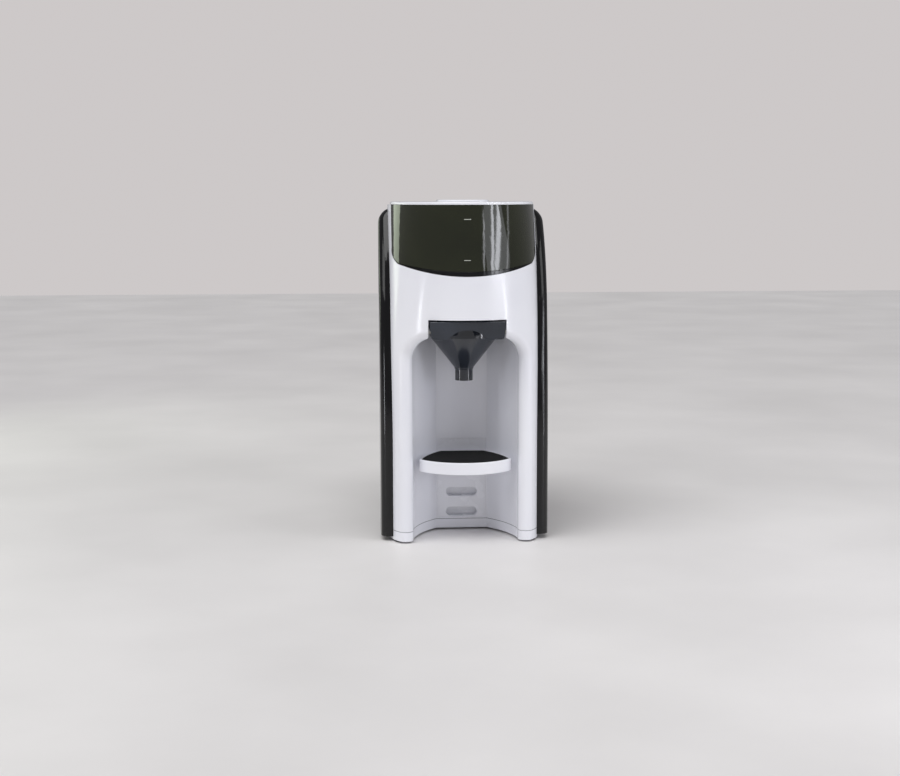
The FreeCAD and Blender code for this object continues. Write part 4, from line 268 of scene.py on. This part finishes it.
def pad_ink(name, colour, thin):
    """Pad-printed ink: flat, matt, a touch thinner where the pad lifted."""
    material, tree, place = start_material(name)
    cover = add_node(tree, "ShaderNodeTexNoise", Vector=place, Scale=per(0.8), Detail=3.0)
    tone = add_node(tree, "ShaderNodeMapRange", Value=cover, **NOISE_RANGE)
    ink = add_node(tree, "ShaderNodeMixRGB", Fac=tone, Color1=thin, Color2=colour)
    gloss = add_node(tree, "ShaderNodeMapRange", Value=cover, To_Min=0.5, To_Max=0.65)
    relief = add_node(tree, "ShaderNodeBump", Height=cover, Distance=0.004 * MM)
    skin = {"Base_Color": ink, "Roughness": gloss, "Normal": relief, "IOR": 1.5}
    shader = add_node(tree, "ShaderNodeBsdfPrincipled", **skin)
    add_node(tree, "ShaderNodeOutputMaterial", Surface=shader)
    return material


# Pale pad ink: dry light grey that reads against the dark window.
PALE_INK = pad_ink("pale_pad_ink", "#C9CCC4", "#A9ACA3")

# Two level marks: a full line and a slightly shorter refill line.
MARK_LEFT = -4.0
MARK_THICKNESS = 0.7
FULL_MARK = 336.2
FULL_MARK_RIGHT = 3.0
REFILL_MARK = 295.2
REFILL_MARK_RIGHT = 2.6
level_marks = bar(MARK_LEFT, FULL_MARK_RIGHT, FULL_MARK, FULL_MARK + MARK_THICKNESS)
level_marks += bar(MARK_LEFT, REFILL_MARK_RIGHT, REFILL_MARK, REFILL_MARK + MARK_THICKNESS)
printed("powder_level_marks", "smoked_window", level_marks, FROM_FRONT, PALE_INK, "hopper")

# --- Dosing works ------------------------------------------------------------------------------
# Wheel, stirrer, wiper, chute, deck, guides and drive gear are moulded in natural acetal, which
# runs dry. The pinion is turned from brass and pressed on the shaft of a zinc-plated steel motor.


def waxy_plastic(name, light, dark, roughness, grain_mm, glow):
    """Acetal, nylon or silicone: waxy, with light under the skin and a fine spark-eroded grain."""
    material, tree, place = start_material(name)
    cloud = add_node(tree, "ShaderNodeTexNoise", Vector=place, Scale=per(30), Detail=2.0)
    tone = add_node(tree, "ShaderNodeMapRange", Value=cloud, **NOISE_RANGE)
    colour = add_node(tree, "ShaderNodeMixRGB", Fac=tone, Color1=dark, Color2=light)
    grain = add_node(tree, "ShaderNodeTexNoise", Vector=place, Scale=per(grain_mm), Detail=2.0)
    sheen = {"To_Min": roughness * 0.85, "To_Max": roughness * 1.2}
    gloss = add_node(tree, "ShaderNodeMapRange", Value=grain, **sheen)
    relief = add_node(tree, "ShaderNodeBump", Height=grain, Distance=0.01 * MM)
    skin = {"Base_Color": colour, "Roughness": gloss, "Normal": relief, "IOR": 1.48}
    depth = {"Subsurface_Radius": (1.2 * MM, 1.0 * MM, 0.9 * MM), "Subsurface_Scale": 1.0}
    shader = add_node(tree, "ShaderNodeBsdfPrincipled", Subsurface_Weight=glow, **depth, **skin)
    add_node(tree, "ShaderNodeOutputMaterial", Surface=shader)
    return material


# Natural acetal: milky off-white with the soft edge that light under the skin gives.
ACETAL = waxy_plastic("natural_acetal", "#E9E7E0", "#DEDCD3", 0.36, 0.9, 0.15)
dress(ACETAL, "dosing_wheel", "stirrer_arms", "wiper_cover", "powder_chute")
dress(ACETAL, "dosing_deck", "funnel_guides", "drive_gear")


def worked_metal(name, light, dark, roughness, stroke_mm, stretch=(1.0, 1.0, 1.0)):
    """Bare metal: fine strokes of the tool that made it, in tone, gloss and relief."""
    material, tree, place = start_material(name)
    along = add_node(tree, "ShaderNodeMapping", Vector=place, Scale=stretch)
    strokes = add_node(tree, "ShaderNodeTexNoise", Vector=along, Scale=per(stroke_mm), Detail=4.0)
    tone = add_node(tree, "ShaderNodeMapRange", Value=strokes, **NOISE_RANGE)
    colour = add_node(tree, "ShaderNodeMixRGB", Fac=tone, Color1=dark, Color2=light)
    sheen = {"To_Min": roughness * 0.7, "To_Max": roughness * 1.3}
    gloss = add_node(tree, "ShaderNodeMapRange", Value=strokes, **sheen)
    relief = add_node(tree, "ShaderNodeBump", Height=strokes, Distance=0.006 * MM)
    skin = {"Base_Color": colour, "Roughness": gloss, "Normal": relief, "Metallic": 1.0}
    shader = add_node(tree, "ShaderNodeBsdfPrincipled", **skin)
    add_node(tree, "ShaderNodeOutputMaterial", Surface=shader)
    return material


# Turned brass: warm yellow metal with the lathe's rings round its axis.
TURNED_BRASS = worked_metal("turned_brass", "#D3B36A", "#B18F4C", 0.25, 0.6, (0.1, 0.1, 1.0))
dress(TURNED_BRASS, "motor_pinion")

# Zinc-plated steel: bluish bright metal with the faint spangle of the bath.
ZINC_STEEL = worked_metal("zinc_plated_steel", "#C3C7CC", "#9A9EA3", 0.3, 1.2)
dress(ZINC_STEEL, "dosing_motor", "valve_spring", "base_screws")

# --- Funnel ------------------------------------------------------------------------------------
# One moulding with its front band, in charcoal copolyester, and the cover that snaps on its flange.
# The pair slides out to the front on two guides, to be rinsed.

# Charcoal copolyester: blue-black and glossy, with a little light coming through thin walls.
CHARCOAL_RESIN = tinted_resin("charcoal_copolyester", "#353A44", "#25292F", 0.09, 0.25, 0.08)
dress(CHARCOAL_RESIN, "funnel", "funnel_cover")

# --- Tray mat and feet -------------------------------------------------------------------------
# Moulded black rubber: the mat lies in the tray's recess and the feet are pressed into the base.
# Both come from a blasted mould, which leaves a dry pebble.


def blasted_rubber(name, light, dark, pebble_mm):
    """Black rubber from a blasted mould: dry, pebbled, dusty in the hollows."""
    material, tree, place = start_material(name)
    smooth = {"feature": "SMOOTH_F1"}
    pebble = add_node(tree, "ShaderNodeTexVoronoi", smooth, Vector=place, Scale=per(pebble_mm))
    tone = add_node(tree, "ShaderNodeMapRange", Value=pebble, From_Min=0.2, From_Max=0.8)
    colour = add_node(tree, "ShaderNodeMixRGB", Fac=tone, Color1=light, Color2=dark)
    gloss = add_node(tree, "ShaderNodeMapRange", Value=pebble, To_Min=0.75, To_Max=0.9)
    relief = add_node(tree, "ShaderNodeBump", Height=pebble, Distance=0.05 * MM)
    skin = {"Base_Color": colour, "Roughness": gloss, "Normal": relief, "IOR": 1.5}
    shader = add_node(tree, "ShaderNodeBsdfPrincipled", Specular_IOR_Level=0.2, **skin)
    add_node(tree, "ShaderNodeOutputMaterial", Surface=shader)
    return material


# Blasted black rubber: flat black that greys softly towards the light.
BLACK_RUBBER = blasted_rubber("blasted_black_rubber", "#080808", "#101010", 0.9)
dress(BLACK_RUBBER, "tray_mat", "rubber_feet")

# --- Water tank --------------------------------------------------------------------------------
# Smoked grey copolyester, blown in one piece, with a full line and three cup lines printed at the
# side. Its valve is nylon, its seals and the hoses are silicone, and the heater is a casting.

# Smoked grey copolyester: cool dark grey that shows the water as a darker shape inside.
SMOKED_TANK = tinted_resin("smoked_grey_copolyester", "#3A3C40", "#2C2E31", 0.08, 0.35, 0.15)
dress(SMOKED_TANK, "water_tank")

LINE_FRONT = 80.0
LINE_THICKNESS = 0.8
CUP_LINES = (150.0, 195.0, 240.0)
CUP_LINE_LENGTH = 9.0
FULL_LINE = 306.0
FULL_LINE_LENGTH = 16.0
tank_lines = bar(LINE_FRONT, LINE_FRONT + FULL_LINE_LENGTH, FULL_LINE, FULL_LINE + LINE_THICKNESS)
for height in CUP_LINES:
    tank_lines += bar(LINE_FRONT, LINE_FRONT + CUP_LINE_LENGTH, height, height + LINE_THICKNESS)
printed("tank_level_marks", "water_tank", tank_lines, FROM_RIGHT, PALE_INK, "tank")

# Milky silicone: soft, slightly blue-grey white, matt like skin.
SILICONE = waxy_plastic("milky_silicone", "#DAD9D5", "#CBCAC5", 0.42, 1.2, 0.3)
dress(SILICONE, "lid_seal", "dock_seal", "inlet_hose", "feed_hose", "outlet_hose")
dress(ACETAL, "tank_dock", "water_nozzle")

# Glass-filled black nylon: dull black, faintly mottled by the fibres near the skin.
BLACK_NYLON = waxy_plastic("glass_filled_black_nylon", "#1C1C1D", "#131314", 0.5, 0.5, 0.0)
dress(BLACK_NYLON, "valve_stem", "water_pump", "power_inlet")

# Cast aluminium: grey, satin, with the coarse skin of the mould.
CAST_ALUMINIUM = worked_metal("cast_aluminium", "#C6C8CA", "#A2A4A7", 0.42, 1.6)
dress(CAST_ALUMINIUM, "water_heater")

# --- Chassis and boards ------------------------------------------------------------------------
# Chassis plate, bulkhead and tank shelf are grey ABS with a spark-eroded grain. The boards are
# glass-epoxy under green solder mask, screwed to the chassis.

# Grained grey ABS: mid grey, evenly matt, so that it hides the marks of assembly.
GRAINED_GREY = waxy_plastic("grained_grey_abs", "#7E8084", "#6F7175", 0.5, 0.7, 0.0)
dress(GRAINED_GREY, "chassis_frame", "rear_bulkhead", "tank_shelf")


def solder_mask(name, mask, over_copper, track_mm):
    """Green solder mask, lighter and slightly raised where it runs over copper tracks."""
    material, tree, place = start_material(name)
    edges = {"feature": "DISTANCE_TO_EDGE", "distance": "MANHATTAN"}
    tracks = add_node(tree, "ShaderNodeTexVoronoi", edges, Vector=place, Scale=per(track_mm))
    tone = add_node(tree, "ShaderNodeMapRange", Value=tracks, From_Min=0.04, From_Max=0.08)
    colour = add_node(tree, "ShaderNodeMixRGB", Fac=tone, Color1=over_copper, Color2=mask)
    gloss = add_node(tree, "ShaderNodeMapRange", Value=tracks, To_Min=0.3, To_Max=0.38)
    relief = add_node(tree, "ShaderNodeBump", Height=tracks, Distance=0.03 * MM)
    skin = {"Base_Color": colour, "Roughness": gloss, "Normal": relief, "IOR": 1.55}
    shader = add_node(tree, "ShaderNodeBsdfPrincipled", **skin)
    add_node(tree, "ShaderNodeOutputMaterial", Surface=shader)
    return material


# Green solder mask: deep glossy green with lighter tracks.
GREEN_MASK = solder_mask("green_solder_mask", "#164A2D", "#2C6B45", 3.0)
dress(GREEN_MASK, "main_board", "power_board", "display_board")

# --- Control panel -----------------------------------------------------------------------------
# On the right side: a black ABS bezel bowed like the panel it sits in, a dark acrylic window with
# the segments of an unlit display, and five satin grey push buttons with printed signs.
dress(PIANO_BLACK, "control_bezel")

# Dark acrylic: a black mirror that the segments only just show through.
DARK_ACRYLIC = tinted_resin("dark_display_acrylic", "#101318", "#0B0D11", 0.05, 0.05, 0.05)
dress(DARK_ACRYLIC, "display_window")

# Satin grey ABS: pale, with a wide soft sheen that keeps finger marks from showing.
SATIN_GREY = moulded_abs("satin_grey_abs", "#C9CAD0", "#BEBFC6", 0.34, 0.008, edge_mm=0.2)
KEYS = ("power", "temperature", "strength", "volume", "start")
dress(SATIN_GREY, *(f"{key}_button" for key in KEYS))

DIGIT_WIDTH = 5.0
DIGIT_HEIGHT = 11.0
DIGIT_LEFTS = (-12.5, -5.0, 2.5)
DIGIT_LOW = 220.5
SEGMENT = 1.0
SEGMENT_GAP = 0.25


def digit(left, low):
    """The seven bars of one numeral, all drawn, as they show when the display is off."""
    inset = SEGMENT + SEGMENT_GAP
    middle = low + DIGIT_HEIGHT / 2
    half_gap = SEGMENT / 2 + SEGMENT_GAP
    bars = []
    for level in (low, middle - SEGMENT / 2, low + DIGIT_HEIGHT - SEGMENT):
        bars += bar(left + inset, left + DIGIT_WIDTH - inset, level, level + SEGMENT)
    for side in (left, left + DIGIT_WIDTH - SEGMENT):
        bars += bar(side, side + SEGMENT, low + inset, middle - half_gap)
        bars += bar(side, side + SEGMENT, middle + half_gap, low + DIGIT_HEIGHT - inset)
    return bars


# Unlit segment: one step lighter than the window, as a reflective display looks when it is off.
UNLIT_SEGMENT = pad_ink("unlit_display_segment", "#2B3138", "#262B31")
segments = [quad for left in DIGIT_LEFTS for quad in digit(left, DIGIT_LOW)]
printed("display_segments", "display_window", segments, FROM_RIGHT, UNLIT_SEGMENT, "housing")


STROKE = 0.3
DOT_RADIUS = 0.8
PINHOLE = 0.1


def stem(x, low, high):
    """One upright stroke of a sign."""
    return bar(x - STROKE, x + STROKE, low, high)


def dot(x, y):
    """A filled dot, but for a pinhole in its middle."""
    return ring(x, y, PINHOLE, DOT_RADIUS)


def amount_bars(x, low):
    """Three bars of rising height."""
    half_width = 0.5
    spacing = 1.6
    middle_height = 2.6
    rise = 1.3
    bars = []
    for step in (-1, 0, 1):
        middle = x + spacing * step
        height = middle_height + rise * step
        bars += bar(middle - half_width, middle + half_width, low, low + height)
    return bars


def pointer(x, y):
    """A triangle that points to the rear, cut into strips."""
    base_half = 1.9
    tip_half = 0.05
    strip = 0.8
    base = x - 1.3
    edges = [base + strip * index for index in range(5)]
    reach = edges[-1] - edges[0]
    halves = [base_half * (edges[-1] - edge) / reach + tip_half for edge in edges]
    return [
        [(a, y - ha), (b, y - hb), (b, y + hb), (a, y + ha)]
        for a, b, ha, hb in zip(edges, edges[1:], halves, halves[1:])
    ]


# Dark pad ink: charcoal, softer than black on the grey caps.
DARK_INK = pad_ink("dark_pad_ink", "#3A3B40", "#45464B")

# One sign for each button, drawn round the button's middle: power, warmth, strength, amount, start.
FRONT_ROW = -13.5
REAR_ROW = 8.5
TOP_BUTTON = 258.0
MIDDLE_BUTTONS = 192.0
LOW_BUTTONS = 171.0
power_ring = ring(FRONT_ROW, TOP_BUTTON, 1.6, 2.2, 130.0, 410.0)
thermometer_bulb = ring(FRONT_ROW, MIDDLE_BUTTONS - 1.2, 0.5, 1.2)
low_dots = dot(FRONT_ROW - 1.4, LOW_BUTTONS - 0.8) + dot(FRONT_ROW + 1.4, LOW_BUTTONS - 0.8)
SIGNS = {
    "power": power_ring + stem(FRONT_ROW, TOP_BUTTON + 0.4, TOP_BUTTON + 2.6),
    "temperature": thermometer_bulb + stem(FRONT_ROW, MIDDLE_BUTTONS - 0.1, MIDDLE_BUTTONS + 2.6),
    "strength": low_dots + dot(FRONT_ROW, LOW_BUTTONS + 1.6),
    "volume": amount_bars(REAR_ROW, MIDDLE_BUTTONS - 1.8),
    "start": pointer(REAR_ROW, LOW_BUTTONS),
}
for key in KEYS:
    printed(f"{key}_sign", f"{key}_button", SIGNS[key], FROM_RIGHT, DARK_INK, f"{key}_key")

# --- Studio ------------------------------------------------------------------------------------
# A pale worktop under an even overhead light, with large soft boxes high at both sides. Slim ones at
# window height are slanted, so that they draw upright streaks on the curved window, and two low ones
# put a highlight on the housing's legs.


def honed_stone(name, light, dark, vein_mm):
    """Honed pale stone: cloudy, with hardly any shine."""
    material, tree, place = start_material(name)
    cloud = add_node(tree, "ShaderNodeTexNoise", Vector=place, Scale=per(vein_mm), Detail=5.0)
    tone = add_node(tree, "ShaderNodeMapRange", Value=cloud, **NOISE_RANGE)
    colour = add_node(tree, "ShaderNodeMixRGB", Fac=tone, Color1=dark, Color2=light)
    gloss = add_node(tree, "ShaderNodeMapRange", Value=cloud, To_Min=0.42, To_Max=0.55)
    skin = {"Base_Color": colour, "Roughness": gloss, "IOR": 1.5}
    shader = add_node(tree, "ShaderNodeBsdfPrincipled", **skin)
    add_node(tree, "ShaderNodeOutputMaterial", Surface=shader)
    return material


# Honed pale stone: a quiet ground that only carries the machine's soft shadow.
PALE_STONE = honed_stone("honed_pale_stone", "#E8E6E5", "#DEDCDB", 260)
WORKTOP_REACH = 4.0
worktop_mesh = bpy.data.meshes.new("worktop")
turns = ((-1, -1), (1, -1), (1, 1), (-1, 1))
worktop_corners = [(x * WORKTOP_REACH, y * WORKTOP_REACH, 0.0) for x, y in turns]
worktop_mesh.from_pydata(worktop_corners, [], [(0, 1, 2, 3)])
worktop_mesh.materials.append(PALE_STONE)
worktop = bpy.data.objects.new("worktop", worktop_mesh)
bpy.context.scene.collection.objects.link(worktop)

# The air lights the scene softly, and stands behind it as a pale backdrop.
world = bpy.data.worlds.new("studio_air")
bpy.context.scene.world = world
world.use_nodes = True
world.node_tree.nodes.clear()
air = add_node(world.node_tree, "ShaderNodeBackground", Color="#E8E6EA", Strength=0.33)
backdrop = add_node(world.node_tree, "ShaderNodeBackground", Color="#E9E4E4", Strength=0.75)
seen = add_node(world.node_tree, "ShaderNodeLightPath").outputs["Is Camera Ray"]
either = add_node(world.node_tree, "ShaderNodeMixShader", None, seen, air, backdrop)
add_node(world.node_tree, "ShaderNodeOutputWorld", Surface=either)

overhead_light = bpy.data.lights.new("overhead", "SUN")
overhead_light.energy = 1.7
overhead_light.angle = math.radians(50)
overhead = bpy.data.objects.new("overhead", overhead_light)
overhead.rotation_euler = (math.radians(18), math.radians(-12), 0)
bpy.context.scene.collection.objects.link(overhead)

MACHINE_MIDDLE = Vector((0.0, -0.1, 0.2))


def soft_box(name, low_end, high_end, width, watts, colour="#F6F8FF"):
    """A soft box that hangs between two points and faces the machine."""
    low_end = Vector(low_end)
    high_end = Vector(high_end)
    middle = (low_end + high_end) / 2
    along = (high_end - low_end).normalized()
    away = middle - MACHINE_MIDDLE
    away = (away - along * away.dot(along)).normalized()
    light = bpy.data.lights.new(name, "AREA")
    light.shape = "RECTANGLE"
    light.size = width
    light.size_y = (high_end - low_end).length
    light.energy = watts
    light.color = linear_colour(colour)[:3]
    lamp = bpy.data.objects.new(name, light)
    lamp.visible_camera = False
    lamp.matrix_world = Matrix((along.cross(away), along, away)).transposed().to_4x4()
    lamp.location = middle
    bpy.context.scene.collection.objects.link(lamp)


soft_box("left_fill", (-1.35, -0.95, 0.75), (-1.15, -0.75, 1.55), 0.9, 4.8, "#FFFFFF")
soft_box("right_fill", (1.35, -0.95, 0.75), (1.15, -0.75, 1.55), 0.9, 3.9, "#FFFFFF")
soft_box("rear_left", (-1.136, 0.526, 0.232), (-0.704, 0.964, 0.568), 0.21, 1.0, "#E8F4DC")
soft_box("narrow_right", (0.585, -1.207, 0.245), (0.722, -1.121, 0.350), 0.03, 0.07)
soft_box("pale_right", (0.747, -1.169, 0.176), (1.235, -0.471, 0.514), 0.33, 1.2)
soft_box("bright_right_inner", (0.804, -1.060, 0.250), (1.043, -0.783, 0.435), 0.037, 0.38)
soft_box("bright_right_outer", (0.900, -0.971, 0.260), (1.154, -0.565, 0.435), 0.046, 0.60)
soft_box("low_left", (-0.98, -0.60, 0.0), (-0.98, -0.60, 0.28), 0.08, 0.75)
soft_box("low_right", (0.93, -0.70, 0.0), (0.93, -0.70, 0.28), 0.08, 0.75)
soft_box("hairline_right", (1.100, -0.703, 0.270), (1.238, -0.077, 0.500), 0.013, 0.08)

# --- Camera ------------------------------------------------------------------------------------
# Slightly left of the middle and a little above the lid, looking down at the front, with a long
# lens so that upright edges stay nearly upright.
IMAGE_WIDTH = 900
FOCAL_PIXELS = 1549.0
SENSOR_MM = 36.0
camera_data = bpy.data.cameras.new("camera")
camera_data.sensor_width = SENSOR_MM
camera_data.lens = SENSOR_MM * FOCAL_PIXELS / IMAGE_WIDTH
camera_data.clip_start = 0.01
camera_data.clip_end = 50.0
camera = bpy.data.objects.new("camera", camera_data)
camera.location = (-0.1214, -1.7074, 0.3616)
camera.rotation_euler = [math.radians(angle) for angle in (82.871, 0.106, -3.799)]
bpy.context.scene.collection.objects.link(camera)
bpy.context.scene.camera = camera
bpy.context.scene.view_settings.view_transform = "Standard"
